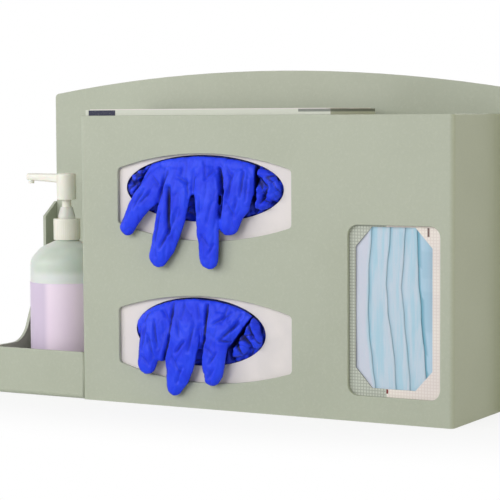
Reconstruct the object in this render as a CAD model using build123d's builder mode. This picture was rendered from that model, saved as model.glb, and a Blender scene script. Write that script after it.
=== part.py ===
"""Wall dispenser for disposable gloves and face masks, with a shelf for a pump bottle.

Sheet plastic is cut, bent and cemented into two bays behind one front panel, on an arched
back panel that also carries the bottle shelf. Two glove cartons, a mask carton and a pump
bottle stand in it.

Frame: millimetres, +Z up, the front looks along -Y. The origin is on the underside, half
way across the whole width and half way between the front face and the wall face.
"""

import os
from dataclasses import dataclass
from math import sqrt

from build123d import *

# ---------------------------------------------------------------- sheet work
SHEET = 3.0
BEND_RADIUS = 4.0
EDGE_ROUND = 0.6
BOX_HEIGHT = 252.0
BOX_DEPTH = 108.0
NICHE_WIDTH = 102.0
PANEL_OVERHANG = 10.6
PANEL_SHOULDER = 272.5
PANEL_CROWN = 291.3
PANEL_CORNER = 4.0

# ---------------------------------------------------------------- windows
GLOVE_WINDOW_WIDTH = 171.6
GLOVE_WINDOW_SIDE = 48.0
GLOVE_WINDOW_HEIGHT = 74.6
GLOVE_WINDOW_CORNER = 4.0
LOWER_WINDOW_DROP = 6.8
UPPER_WINDOW_DROP = 11.5
MASK_WINDOW_WIDTH = 82.4
MASK_WINDOW_HEIGHT = 140.6
MASK_WINDOW_CORNER = 9.0
MASK_WINDOW_SILL = 21.4
MASK_WINDOW_SHIFT = 2.2

# ---------------------------------------------------------------- bottle shelf
LIP_HEIGHT = 42.0
WING_LIP_RUN = 50.0
WING_FOOT_CURVE = 24.0
WING_SHOULDER_CURVE = 10.0
WING_EDGE_SETBACK = 86.5
WING_SLOPE_TOP = 124.0
WING_EDGE_TOP = 157.0
WING_TOP = 170.5

# ---------------------------------------------------------------- wall screws
SCREW_SPACING_X = 304.8
SCREW_SPACING_Z = 165.1
SCREW_LOW = 50.8
SCREW_HOLE_RADIUS = 2.75

# ---------------------------------------------------------------- cartons
BOARD = 0.8
CARTON_GAP = 0.5
GLOVE_CARTON_SIDE_GAP = 1.0
MASK_CARTON_SIDE_GAP = 2.0
GLOVE_CARTON_WIDTH = 242.0
GLOVE_CARTON_HEIGHT = 127.0
GLOVE_CARTON_DEPTH = 85.0
MASK_CARTON_WIDTH = 100.0
MASK_CARTON_HEIGHT = 195.0
MASK_CARTON_DEPTH = 88.0
MASK_CARTON_SHIFT = 1.0
MASK_SLOT_WIDTH = 68.7
MASK_SLOT_HEIGHT = 132.6
MASK_SLOT_CUT_X = 15.0
MASK_SLOT_CUT_Z = 16.5
MASK_SLOT_DROP = 6.2
LOWER_OVAL_SIDE = 21.3
LOWER_OVAL_RIM = 7.8
LOWER_OVAL_SHIFT = -5.1
LOWER_OVAL_DROP = 0.4
UPPER_OVAL_SIDE = 7.9
UPPER_OVAL_RIM = 8.6
UPPER_OVAL_SHIFT = -0.6
UPPER_OVAL_DROP = 4.1

# ---------------------------------------------------------------- soft contents
PACK_GAP = 1.0
OVAL_GAP = 0.8
PACK_BULGE = 2.0
DRAPE_GAP = 0.4
HAND_WIDTH = 100.0
GLOVE_THICK = 6.0
GLOVE_ROUND = 2.0
MASK_LENGTH = 175.0
MASK_WIDTH = 95.0
MASK_FOLDS = 5
MASK_FOLD_STEP = 1.6
MASK_THICK = 2.4

# ---------------------------------------------------------------- bottle
BOTTLE_RADIUS = 34.0
BOTTLE_SETBACK = 50.0
BOTTLE_HEIGHT = 149.6
BOTTLE_WALL = 1.2
BOTTLE_FOOT_ROUND = 5.0
NECK_RADIUS = 10.2
NECK_HEIGHT = 14.8
SHOULDER_RISE = 6.5
SHOULDER_REACH = 9.5
SHOULDER_DROP = 17.5
SHOULDER_CURVE = 13.0
NECK_CURVE = 1.5
LABEL_FOOT = 9.0
LABEL_HEIGHT = 88.0
LABEL_THICK = 0.3
SURFACE_GAP = 0.1
FILL_HEIGHT = 108.0

# ---------------------------------------------------------------- pump
CAP_RADIUS = 12.3
CAP_HEIGHT = 19.2
CAP_PLATE = 1.6
CAP_RIBS = 36
CAP_RIB_DEPTH = 0.35
GASKET_THICK = 1.0
FLANGE_THICK = 1.2
TURN_GAP = 0.1
SLIP_GAP = 0.3
RUN_GAP = 0.05
BARREL_RADIUS = 7.5
BARREL_WALL = 1.0
BARREL_LENGTH = 55.0
BARREL_FLOOR = 1.5
TAIL_LENGTH = 8.0
TUBE_RADIUS = 2.5
TUBE_WALL = 0.8
TUBE_FOOT_GAP = 6.0
VALVE_BORE = 1.5
BALL_RADIUS = 2.2
COLLAR_RADIUS = 7.8
COLLAR_TIP_RADIUS = 5.6
COLLAR_RISE = 12.5
COLLAR_STRAIGHT = 2.5
COLLAR_SLEEVE = 4.0
STEM_RADIUS = 4.2
STEM_BORE = 1.8
STEM_SPIGOT = 3.0
PISTON_HEIGHT = 6.3
PISTON_LIP = 1.575
PISTON_TAPER = 0.525
SPRING_WIRE = 0.5
SPRING_RADIUS = 4.7
SPRING_TURNS = 7
STROKE = 17.0
HEAD_RADIUS = 8.9
HEAD_CAVITY = 8.2
HEAD_SKIRT_GAP = 0.6
HEAD_TOP_HEIGHT = 10.0
HEAD_ROUND = 2.4
HEAD_ROOF = 3.4
SPOUT_REACH = 42.5
SPOUT_ROOT_WIDTH = 9.0
SPOUT_ROOT_HEIGHT = 8.4
SPOUT_TIP_WIDTH = 6.4
SPOUT_TIP_HEIGHT = 6.2
SPOUT_BORE = 1.5
NOZZLE_RADIUS = 2.6
NOZZLE_DROP = 3.0

# ---------------------------------------------------------------- places
GLOVE_BAY_WIDTH = GLOVE_CARTON_WIDTH + 2 * GLOVE_CARTON_SIDE_GAP
MASK_BAY_WIDTH = MASK_CARTON_WIDTH + 2 * MASK_CARTON_SIDE_GAP
BOX_WIDTH = GLOVE_BAY_WIDTH + MASK_BAY_WIDTH + 3 * SHEET
WHOLE_WIDTH = NICHE_WIDTH + BOX_WIDTH + PANEL_OVERHANG
WING_LEFT = -WHOLE_WIDTH / 2
PANEL_LEFT = WING_LEFT + SHEET
PANEL_RIGHT = WHOLE_WIDTH / 2
BOX_LEFT = WING_LEFT + NICHE_WIDTH
BOX_RIGHT = BOX_LEFT + BOX_WIDTH
FRONT_Y = -BOX_DEPTH / 2
WALL_Y = BOX_DEPTH / 2
PANEL_Y = WALL_Y - SHEET
CARTON_Y = FRONT_Y + SHEET + CARTON_GAP
INNER_BEND = max(BEND_RADIUS - SHEET, SHEET / 4)
GLOVE_BAY_LEFT = BOX_LEFT + SHEET
GLOVE_BAY_RIGHT = GLOVE_BAY_LEFT + GLOVE_BAY_WIDTH
GLOVE_BAY_X = (GLOVE_BAY_LEFT + GLOVE_BAY_RIGHT) / 2
MASK_BAY_LEFT = GLOVE_BAY_RIGHT + SHEET
MASK_BAY_RIGHT = BOX_RIGHT - SHEET
MASK_BAY_X = (MASK_BAY_LEFT + MASK_BAY_RIGHT) / 2
MASK_CARTON_X = MASK_BAY_X + MASK_CARTON_SHIFT
MASK_SLOT_Z = SHEET + MASK_CARTON_HEIGHT / 2 - MASK_SLOT_DROP
BOTTLE_X = (PANEL_LEFT + BOX_LEFT) / 2
BOTTLE_Y = FRONT_Y + BOTTLE_SETBACK

NECK_TOP = SHEET + BOTTLE_HEIGHT
NECK_BASE = NECK_TOP - NECK_HEIGHT
GASKET_TOP = NECK_TOP + GASKET_THICK
BARREL_TOP = GASKET_TOP + FLANGE_THICK
COLLAR_SEAT = BARREL_TOP + FLANGE_THICK
CAP_TOP = COLLAR_SEAT + TURN_GAP + CAP_PLATE
COLLAR_TOP = COLLAR_SEAT + COLLAR_RISE
BARREL_FOOT = BARREL_TOP - BARREL_LENGTH
VALVE_SEAT = BARREL_FOOT + BARREL_FLOOR
BARREL_BORE = BARREL_RADIUS - BARREL_WALL
PISTON_TOP = BARREL_TOP - COLLAR_SLEEVE - SLIP_GAP
PISTON_FOOT = PISTON_TOP - PISTON_HEIGHT
HEAD_FOOT = CAP_TOP + HEAD_SKIRT_GAP + STROKE
HEAD_CEILING = COLLAR_TOP + STROKE + HEAD_SKIRT_GAP
STEM_TOP = HEAD_CEILING + HEAD_TOP_HEIGHT
HEAD_TOP = STEM_TOP + HEAD_ROOF
SPOUT_TOP = HEAD_TOP - EDGE_ROUND
SPOUT_BORE_Z = SPOUT_TOP - SPOUT_TIP_HEIGHT / 2

FRONT_PLANE = Plane.XZ.offset(-FRONT_Y)
WALL_PLANE = Plane.XZ.offset(-WALL_Y)
PUMP_AXIS = Axis((BOTTLE_X, BOTTLE_Y, 0), (0, 0, 1))
PUMP_PLANE = Plane(origin=(BOTTLE_X, BOTTLE_Y, 0), x_dir=(1, 0, 0), z_dir=(0, -1, 0))


@dataclass(frozen=True)
class Finger:
    """One finger that hangs out of a carton, in hand widths from the centre of its oval."""

    root_x: float
    root_z: float
    root_radius: float
    tip_x: float
    tip_z: float
    tip_radius: float


@dataclass(frozen=True)
class GloveBox:
    """One glove carton: its storey in the bay, its window and oval, and its hanging glove.

    The oval is smaller than the window by oval_side at each end and by oval_rim above and
    below. The cuff that fills the oval ends at fold_x, in hand widths.
    """

    name: str
    storey: int
    window_drop: float
    oval_side: float
    oval_rim: float
    oval_shift: float
    oval_drop: float
    fold_x: float
    fingers: tuple

    @property
    def foot(self):
        """The height that the carton stands at."""
        return SHEET + self.storey * GLOVE_CARTON_HEIGHT

    @property
    def middle(self):
        """The height of the carton's middle."""
        return self.foot + GLOVE_CARTON_HEIGHT / 2

    @property
    def oval_centre(self):
        """The centre of the oval, across and up."""
        return GLOVE_BAY_X + self.oval_shift, self.middle - self.oval_drop

    def oval(self, gap=0.0):
        """The oval, or an outline inside it by a gap."""
        return Ellipse(
            GLOVE_WINDOW_WIDTH / 2 - self.oval_side - gap,
            GLOVE_WINDOW_HEIGHT / 2 - self.oval_rim - gap,
        )


LOWER_FINGERS = (
    Finger(-0.446, -0.02, 0.114, -0.499, -0.291, 0.08),
    Finger(-0.141, -0.01, 0.145, -0.201, -0.446, 0.095),
    Finger(0.193, 0.01, 0.114, 0.179, -0.346, 0.092),
)
UPPER_FINGERS = (
    Finger(-0.535, 0.04, 0.125, -0.712, -0.336, 0.076),
    Finger(-0.245, -0.015, 0.12, -0.378, -0.554, 0.102),
    Finger(0.09, 0.12, 0.096, 0.106, -0.584, 0.096),
    Finger(0.35, 0.04, 0.116, 0.3, -0.286, 0.096),
)
GLOVE_BOXES = (
    GloveBox(
        "lower", 0, LOWER_WINDOW_DROP, LOWER_OVAL_SIDE, LOWER_OVAL_RIM,
        LOWER_OVAL_SHIFT, LOWER_OVAL_DROP, 0.26, LOWER_FINGERS,
    ),
    GloveBox(
        "upper", 1, UPPER_WINDOW_DROP, UPPER_OVAL_SIDE, UPPER_OVAL_RIM,
        UPPER_OVAL_SHIFT, UPPER_OVAL_DROP, 0.4, UPPER_FINGERS,
    ),
)


def barrel_window(width, side, height, corner):
    """A window with upright sides and a shallow arc above and below."""
    with BuildSketch() as outline:
        with BuildLine():
            left_low = (-width / 2, -side / 2)
            left_high = (-width / 2, side / 2)
            right_high = (width / 2, side / 2)
            right_low = (width / 2, -side / 2)
            Line(left_low, left_high)
            ThreePointArc(left_high, (0, height / 2), right_high)
            Line(right_high, right_low)
            ThreePointArc(right_low, (0, -height / 2), left_low)
        make_face()
        fillet(outline.vertices(), corner)
    return outline.sketch


def cut_corner_slot(width, height, cut_x, cut_z):
    """An upright slot with its four corners cut off."""
    x, z = width / 2, height / 2
    with BuildSketch() as outline:
        with BuildLine():
            Polyline(
                (-x, -z + cut_z),
                (-x, z - cut_z),
                (-x + cut_x, z),
                (x - cut_x, z),
                (x, z - cut_z),
                (x, -z + cut_z),
                (x - cut_x, -z),
                (-x + cut_x, -z),
                close=True,
            )
        make_face()
    return outline.sketch


def flat_finger(finger):
    """A flattened finger about the centre of its carton's oval, its back on the XZ plane."""
    with BuildPart() as limb:
        with BuildSketch(Plane.XZ):
            with Locations((finger.root_x * HAND_WIDTH, finger.root_z * HAND_WIDTH)):
                Circle(finger.root_radius * HAND_WIDTH)
            with Locations((finger.tip_x * HAND_WIDTH, finger.tip_z * HAND_WIDTH)):
                Circle(finger.tip_radius * HAND_WIDTH)
            make_hull()
        extrude(amount=GLOVE_THICK)
        fillet(limb.faces().sort_by(Axis.Y)[0].edges(), GLOVE_ROUND)
    return limb.part


def save(part, name):
    """Labels a finished piece and writes its file."""
    part.label = name
    export_step(part, f"parts/{name}.step")


os.makedirs("parts", exist_ok=True)

# ================================================================ back panel
with BuildPart() as back_panel:
    with BuildSketch(WALL_PLANE) as panel_outline:
        with BuildLine():
            foot_left = (PANEL_LEFT, 0)
            foot_right = (PANEL_RIGHT, 0)
            shoulder_right = (PANEL_RIGHT, PANEL_SHOULDER)
            shoulder_left = (PANEL_LEFT, PANEL_SHOULDER)
            crown = ((PANEL_LEFT + PANEL_RIGHT) / 2, PANEL_CROWN)
            Line(foot_left, foot_right)
            Line(foot_right, shoulder_right)
            ThreePointArc(shoulder_right, crown, shoulder_left)
            Line(shoulder_left, foot_left)
        make_face()
        fillet(panel_outline.vertices().group_by(Axis.Y)[-1], PANEL_CORNER)
        with Locations((0, SCREW_LOW + SCREW_SPACING_Z / 2)):
            with GridLocations(SCREW_SPACING_X, SCREW_SPACING_Z, 2, 2):
                Circle(SCREW_HOLE_RADIUS, mode=Mode.SUBTRACT)
    extrude(amount=SHEET)
    front_rim = back_panel.faces().sort_by(Axis.Y)[0].outer_wire().edges()
    fillet(front_rim.filter_by(lambda edge: edge.center().Z > EDGE_ROUND), EDGE_ROUND)
save(back_panel.part, "back_panel")

# ================================================================ front shell
glove_window = barrel_window(
    GLOVE_WINDOW_WIDTH, GLOVE_WINDOW_SIDE, GLOVE_WINDOW_HEIGHT, GLOVE_WINDOW_CORNER
)
with BuildPart() as front_shell:
    with BuildSketch() as shell_plan:
        with BuildLine():
            Polyline(
                (BOX_LEFT, PANEL_Y),
                (BOX_LEFT, FRONT_Y),
                (BOX_RIGHT, FRONT_Y),
                (BOX_RIGHT, PANEL_Y),
                (MASK_BAY_RIGHT, PANEL_Y),
                (MASK_BAY_RIGHT, FRONT_Y + SHEET),
                (GLOVE_BAY_LEFT, FRONT_Y + SHEET),
                (GLOVE_BAY_LEFT, PANEL_Y),
                close=True,
            )
        make_face()
        fillet(shell_plan.vertices().group_by(Axis.Y)[0], BEND_RADIUS)
        fillet(shell_plan.vertices().filter_by_position(
            Axis.Y, FRONT_Y + SHEET, FRONT_Y + SHEET
        ), INNER_BEND)
    extrude(amount=BOX_HEIGHT)
    fillet(front_shell.faces().sort_by(Axis.Z)[-1].outer_wire().edges(), EDGE_ROUND)
    with BuildSketch(FRONT_PLANE):
        for glove_box in GLOVE_BOXES:
            with Locations((GLOVE_BAY_X, glove_box.middle - glove_box.window_drop)):
                add(glove_window)
        with Locations(
            (MASK_BAY_X + MASK_WINDOW_SHIFT, MASK_WINDOW_SILL + MASK_WINDOW_HEIGHT / 2)
        ):
            RectangleRounded(MASK_WINDOW_WIDTH, MASK_WINDOW_HEIGHT, MASK_WINDOW_CORNER)
    extrude(amount=-SHEET, mode=Mode.SUBTRACT)
    window_rims = front_shell.faces().sort_by(Axis.Y)[0].inner_wires().edges()
    fillet(window_rims, EDGE_ROUND)
save(front_shell.part, "front_shell")

# ================================================================ floor and divider
with BuildPart() as box_floor:
    with BuildSketch() as floor_plan:
        with BuildLine():
            Polyline(
                (GLOVE_BAY_LEFT, FRONT_Y + SHEET),
                (MASK_BAY_RIGHT, FRONT_Y + SHEET),
                (MASK_BAY_RIGHT, PANEL_Y),
                (GLOVE_BAY_LEFT, PANEL_Y),
                close=True,
            )
        make_face()
        fillet(floor_plan.vertices().group_by(Axis.Y)[0], INNER_BEND)
    extrude(amount=SHEET)
save(box_floor.part, "box_floor")

with BuildPart() as compartment_divider:
    with BuildSketch(Plane.XY.offset(SHEET)):
        with Locations((GLOVE_BAY_RIGHT, PANEL_Y)):
            Rectangle(SHEET, PANEL_Y - FRONT_Y - SHEET, align=(Align.MIN, Align.MAX))
    extrude(amount=BOX_HEIGHT - SHEET)
    fillet(compartment_divider.edges().group_by(Axis.Z)[-1].filter_by(Axis.Y), EDGE_ROUND)
save(compartment_divider.part, "compartment_divider")

# ================================================================ bottle shelf
with BuildPart() as bottle_tray:
    with BuildSketch(Plane.YZ.offset(PANEL_LEFT)) as tray_section:
        with BuildLine():
            Polyline(
                (PANEL_Y, 0),
                (FRONT_Y, 0),
                (FRONT_Y, LIP_HEIGHT),
                (FRONT_Y + SHEET, LIP_HEIGHT),
                (FRONT_Y + SHEET, SHEET),
                (PANEL_Y, SHEET),
                close=True,
            )
        make_face()
        outer_bend = tray_section.vertices().sort_by_distance((FRONT_Y, 0))[0]
        fillet(outer_bend, BEND_RADIUS)
        inner_bend = tray_section.vertices().sort_by_distance(
            (FRONT_Y + SHEET, SHEET)
        )[0]
        fillet(inner_bend, INNER_BEND)
        fillet(tray_section.vertices().group_by(Axis.Y)[-1], EDGE_ROUND)
    extrude(amount=BOX_LEFT - PANEL_LEFT)
save(bottle_tray.part, "bottle_tray")

with BuildPart() as tray_end_wing:
    with BuildSketch(Plane.YZ.offset(WING_LEFT)) as wing_outline:
        with BuildLine():
            lip_corner = (FRONT_Y + WING_LIP_RUN, LIP_HEIGHT)
            edge_foot = (FRONT_Y + WING_EDGE_SETBACK, WING_SLOPE_TOP)
            edge_top = (FRONT_Y + WING_EDGE_SETBACK, WING_EDGE_TOP)
            Polyline(
                (FRONT_Y, 0),
                (FRONT_Y, LIP_HEIGHT),
                lip_corner,
                edge_foot,
                edge_top,
                (PANEL_Y, WING_TOP),
                (WALL_Y, WING_TOP),
                (WALL_Y, 0),
                close=True,
            )
        make_face()
        fillet(wing_outline.vertices().sort_by_distance((FRONT_Y, 0))[0], BEND_RADIUS)
        fillet(wing_outline.vertices().sort_by_distance(lip_corner)[0], WING_FOOT_CURVE)
        fillet(wing_outline.vertices().sort_by_distance(edge_foot)[0], WING_SHOULDER_CURVE)
        fillet(wing_outline.vertices().sort_by_distance(edge_top)[0], EDGE_ROUND)
    extrude(amount=SHEET)
save(tray_end_wing.part, "tray_end_wing")


# ================================================================ glove cartons
def make_glove_carton(box):
    """A closed carton of thin board with an oval cut out of its front."""
    with BuildPart() as carton:
        with BuildSketch(Plane.XY.offset(box.foot)):
            with Locations((GLOVE_BAY_X, CARTON_Y)):
                Rectangle(
                    GLOVE_CARTON_WIDTH, GLOVE_CARTON_DEPTH, align=(Align.CENTER, Align.MIN)
                )
        extrude(amount=GLOVE_CARTON_HEIGHT)
        offset(amount=-BOARD, mode=Mode.SUBTRACT)
        with BuildSketch(Plane.XZ.offset(-CARTON_Y)):
            with Locations(box.oval_centre):
                box.oval()
        extrude(amount=-BOARD, mode=Mode.SUBTRACT)
    save(carton.part, f"glove_carton_{box.name}")


def make_glove_pack(box):
    """The folded gloves that fill a carton and swell out through its oval."""
    pack_y = CARTON_Y + BOARD + PACK_GAP
    swell_y = FRONT_Y + PACK_BULGE
    with BuildPart() as pack:
        with BuildSketch(Plane.XY.offset(box.foot + BOARD)):
            with Locations((GLOVE_BAY_X, pack_y)):
                RectangleRounded(
                    GLOVE_CARTON_WIDTH - 2 * (BOARD + PACK_GAP),
                    GLOVE_CARTON_DEPTH - 2 * (BOARD + PACK_GAP),
                    GLOVE_ROUND,
                    align=(Align.CENTER, Align.MIN),
                )
        extrude(amount=GLOVE_CARTON_HEIGHT - 2 * BOARD - PACK_GAP)
        with BuildSketch(Plane.XZ.offset(-pack_y)):
            with Locations(box.oval_centre):
                box.oval(OVAL_GAP)
        extrude(amount=pack_y - swell_y)
    save(pack.part, f"glove_pack_{box.name}")


def make_hanging_glove(box):
    """The glove pulled part way out: its cuff fills the oval and its fingers hang in front."""
    oval_x, oval_z = box.oval_centre
    swell_y = FRONT_Y + PACK_BULGE
    drape_y = FRONT_Y - DRAPE_GAP
    cuff_depth = swell_y - drape_y + GLOVE_THICK
    with BuildPart() as glove:
        with BuildSketch(Plane.XZ.offset(-swell_y)):
            with Locations(box.oval_centre):
                box.oval(OVAL_GAP)
        extrude(amount=cuff_depth)
        fillet(glove.faces().sort_by(Axis.Y)[0].edges(), GLOVE_ROUND)
        split(bisect_by=Plane.YZ.offset(oval_x + box.fold_x * HAND_WIDTH), keep=Keep.BOTTOM)
        with Locations((oval_x, drape_y, oval_z)):
            for finger in box.fingers:
                add(flat_finger(finger))
    save(glove.part, f"hanging_glove_{box.name}")


for glove_box in GLOVE_BOXES:
    make_glove_carton(glove_box)
    make_glove_pack(glove_box)
    make_hanging_glove(glove_box)

# ================================================================ mask carton
mask_slot = cut_corner_slot(
    MASK_SLOT_WIDTH, MASK_SLOT_HEIGHT, MASK_SLOT_CUT_X, MASK_SLOT_CUT_Z
)
with BuildPart() as mask_carton:
    with BuildSketch(Plane.XY.offset(SHEET)):
        with Locations((MASK_CARTON_X, CARTON_Y)):
            Rectangle(MASK_CARTON_WIDTH, MASK_CARTON_DEPTH, align=(Align.CENTER, Align.MIN))
    extrude(amount=MASK_CARTON_HEIGHT)
    offset(amount=-BOARD, mode=Mode.SUBTRACT)
    with BuildSketch(Plane.XZ.offset(-CARTON_Y)):
        with Locations((MASK_CARTON_X, MASK_SLOT_Z)):
            add(mask_slot)
    extrude(amount=-BOARD, mode=Mode.SUBTRACT)
save(mask_carton.part, "mask_carton")

FRONT_MASK_Y = CARTON_Y + BOARD + SLIP_GAP
MASK_BACK_Y = FRONT_MASK_Y + MASK_FOLD_STEP + MASK_THICK
STACK_BACK_Y = CARTON_Y + MASK_CARTON_DEPTH - BOARD - PACK_GAP
with BuildPart() as front_mask:
    with BuildSketch(Plane.XY.offset(SHEET + BOARD)):
        with BuildLine():
            fold_pitch = MASK_WIDTH / MASK_FOLDS
            fold_points = [(MASK_CARTON_X - MASK_WIDTH / 2, MASK_BACK_Y)]
            for fold in range(MASK_FOLDS):
                fold_left = MASK_CARTON_X - MASK_WIDTH / 2 + fold * fold_pitch
                fold_points.append((fold_left, FRONT_MASK_Y))
                fold_points.append((fold_left + fold_pitch, FRONT_MASK_Y + MASK_FOLD_STEP))
            fold_points.append((MASK_CARTON_X + MASK_WIDTH / 2, MASK_BACK_Y))
            Polyline(*fold_points, close=True)
        make_face()
    extrude(amount=MASK_LENGTH)
save(front_mask.part, "front_mask")

with BuildPart() as mask_stack:
    with BuildSketch(Plane.XY.offset(SHEET + BOARD)):
        with Locations((MASK_CARTON_X, MASK_BACK_Y)):
            Rectangle(
                MASK_WIDTH, STACK_BACK_Y - MASK_BACK_Y, align=(Align.CENTER, Align.MIN)
            )
    extrude(amount=MASK_LENGTH)
    fillet(mask_stack.edges().filter_by(Axis.Z), EDGE_ROUND)
save(mask_stack.part, "mask_stack")

# ================================================================ bottle
def bottle_silhouette():
    """The whole outline of the bottle, foot to neck, about its own axis."""
    shoulder_edge = (BOTTLE_RADIUS, NECK_BASE - SHOULDER_DROP)
    shoulder_knee = (BOTTLE_RADIUS - SHOULDER_REACH, NECK_BASE - SHOULDER_RISE)
    neck_foot = (NECK_RADIUS, NECK_BASE)
    with BuildSketch() as outline:
        with BuildLine():
            Polyline(
                (0, SHEET),
                (BOTTLE_RADIUS, SHEET),
                shoulder_edge,
                shoulder_knee,
                neck_foot,
                (NECK_RADIUS, NECK_TOP),
                (0, NECK_TOP),
            )
            mirror(about=Plane.YZ)
        make_face()
        corners = outline.vertices()
        fillet(corners.group_by(Axis.Y)[0], BOTTLE_FOOT_ROUND)
        fillet(at_height(outline, shoulder_edge[1]), SHOULDER_CURVE)
        fillet(at_height(outline, shoulder_knee[1]), SHOULDER_CURVE)
        fillet(at_height(outline, NECK_BASE), NECK_CURVE)
    return outline.sketch


def at_height(outline, height):
    """The corners of a sketch that lie at one height."""
    return outline.vertices().filter_by_position(Axis.Y, height - RUN_GAP, height + RUN_GAP)


silhouette = bottle_silhouette()
with BuildPart() as bottle:
    with BuildSketch(PUMP_PLANE):
        add(silhouette)
        offset(amount=-BOTTLE_WALL, mode=Mode.SUBTRACT)
        with Locations((0, NECK_TOP)):
            Rectangle(
                2 * (NECK_RADIUS - BOTTLE_WALL),
                2 * BOTTLE_WALL,
                align=(Align.CENTER, Align.CENTER),
                mode=Mode.SUBTRACT,
            )
        split(bisect_by=Plane.YZ)
    revolve(axis=PUMP_AXIS)
save(bottle.part, "bottle")

with BuildPart() as bottle_label:
    with BuildSketch(Plane(PUMP_AXIS.position).offset(SHEET + LABEL_FOOT)):
        Circle(BOTTLE_RADIUS + SURFACE_GAP + LABEL_THICK)
        Circle(BOTTLE_RADIUS + SURFACE_GAP, mode=Mode.SUBTRACT)
    extrude(amount=LABEL_HEIGHT)
save(bottle_label.part, "bottle_label")

TAIL_FOOT = BARREL_FOOT - TAIL_LENGTH
TAIL_RADIUS = TUBE_RADIUS + RUN_GAP + BARREL_WALL
with BuildPart() as sanitizer:
    with BuildSketch(PUMP_PLANE):
        add(silhouette)
        offset(amount=-BOTTLE_WALL - SURFACE_GAP)
        with Locations((0, SHEET + FILL_HEIGHT)):
            Rectangle(
                2 * BOTTLE_RADIUS,
                BOTTLE_HEIGHT,
                align=(Align.CENTER, Align.MIN),
                mode=Mode.SUBTRACT,
            )
        with Locations((0, SHEET)):
            Rectangle(
                2 * (TAIL_RADIUS + SLIP_GAP),
                BOTTLE_HEIGHT,
                align=(Align.CENTER, Align.MIN),
                mode=Mode.SUBTRACT,
            )
        with Locations((0, BARREL_FOOT - SLIP_GAP)):
            Rectangle(
                2 * (BARREL_RADIUS + SLIP_GAP),
                BOTTLE_HEIGHT,
                align=(Align.CENTER, Align.MIN),
                mode=Mode.SUBTRACT,
            )
        split(bisect_by=Plane.YZ)
    revolve(axis=PUMP_AXIS)
save(sanitizer.part, "sanitizer")

# ================================================================ closure
with BuildPart() as closure_cap:
    with BuildSketch(Plane(PUMP_AXIS.position).offset(CAP_TOP - CAP_HEIGHT)):
        Circle(CAP_RADIUS)
        with PolarLocations(CAP_RADIUS, CAP_RIBS):
            Circle(CAP_RIB_DEPTH, mode=Mode.SUBTRACT)
    extrude(amount=CAP_HEIGHT - CAP_PLATE)
    with BuildSketch(Plane(PUMP_AXIS.position).offset(CAP_TOP - CAP_PLATE)):
        Circle(CAP_RADIUS)
    extrude(amount=CAP_PLATE)
    with BuildSketch(Plane(PUMP_AXIS.position).offset(CAP_TOP - CAP_HEIGHT)):
        Circle(NECK_RADIUS + SLIP_GAP)
    extrude(amount=CAP_HEIGHT - CAP_PLATE, mode=Mode.SUBTRACT)
    with BuildSketch(Plane(PUMP_AXIS.position).offset(CAP_TOP)):
        Circle(COLLAR_RADIUS + SLIP_GAP)
    extrude(amount=-CAP_HEIGHT, mode=Mode.SUBTRACT)
    top_rims = closure_cap.faces().sort_by(Axis.Z)[-1].edges()
    fillet(top_rims, EDGE_ROUND)
save(closure_cap.part, "closure_cap")

with BuildPart() as neck_gasket:
    with BuildSketch(Plane(PUMP_AXIS.position).offset(NECK_TOP)):
        Circle(NECK_RADIUS)
        Circle(BARREL_RADIUS + RUN_GAP, mode=Mode.SUBTRACT)
    extrude(amount=GASKET_THICK)
save(neck_gasket.part, "neck_gasket")


# ================================================================ pump engine
def turned(profile):
    """A piece turned about the pump's axis from points given as radius and height."""
    with BuildPart() as piece:
        with BuildSketch(PUMP_PLANE):
            with BuildLine():
                Polyline(*profile, close=True)
            make_face()
        revolve(axis=PUMP_AXIS)
    return piece.part


TUBE_SOCKET = TUBE_RADIUS + RUN_GAP
pump_housing = turned((
    (VALVE_BORE, BARREL_FOOT),
    (TUBE_SOCKET, BARREL_FOOT),
    (TUBE_SOCKET, TAIL_FOOT),
    (TAIL_RADIUS, TAIL_FOOT),
    (TAIL_RADIUS, BARREL_FOOT),
    (BARREL_RADIUS, BARREL_FOOT + BARREL_WALL),
    (BARREL_RADIUS, GASKET_TOP),
    (NECK_RADIUS, GASKET_TOP),
    (NECK_RADIUS, BARREL_TOP),
    (BARREL_BORE, BARREL_TOP),
    (BARREL_BORE, VALVE_SEAT),
    (VALVE_BORE, VALVE_SEAT),
))
save(pump_housing, "pump_housing")

dip_tube = turned((
    (TUBE_RADIUS - TUBE_WALL, SHEET + TUBE_FOOT_GAP),
    (TUBE_RADIUS, SHEET + TUBE_FOOT_GAP),
    (TUBE_RADIUS, BARREL_FOOT),
    (TUBE_RADIUS - TUBE_WALL, BARREL_FOOT),
))
save(dip_tube, "dip_tube")

with BuildPart() as inlet_ball:
    ball_rise = sqrt(BALL_RADIUS**2 - VALVE_BORE**2) + RUN_GAP
    with Locations((BOTTLE_X, BOTTLE_Y, VALVE_SEAT + ball_rise)):
        Sphere(BALL_RADIUS)
save(inlet_ball.part, "inlet_ball")

with BuildPart() as pump_spring:
    spring_foot = VALVE_SEAT + SPRING_WIRE + RUN_GAP
    spring_rise = PISTON_FOOT - SPRING_WIRE - RUN_GAP - spring_foot
    with BuildLine() as coil:
        Helix(
            spring_rise / SPRING_TURNS,
            spring_rise,
            SPRING_RADIUS,
            center=(BOTTLE_X, BOTTLE_Y, spring_foot),
        )
    with BuildSketch(Plane(origin=coil.line @ 0, z_dir=coil.line % 0)):
        Circle(SPRING_WIRE)
    sweep()
save(pump_spring.part, "pump_spring")

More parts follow.
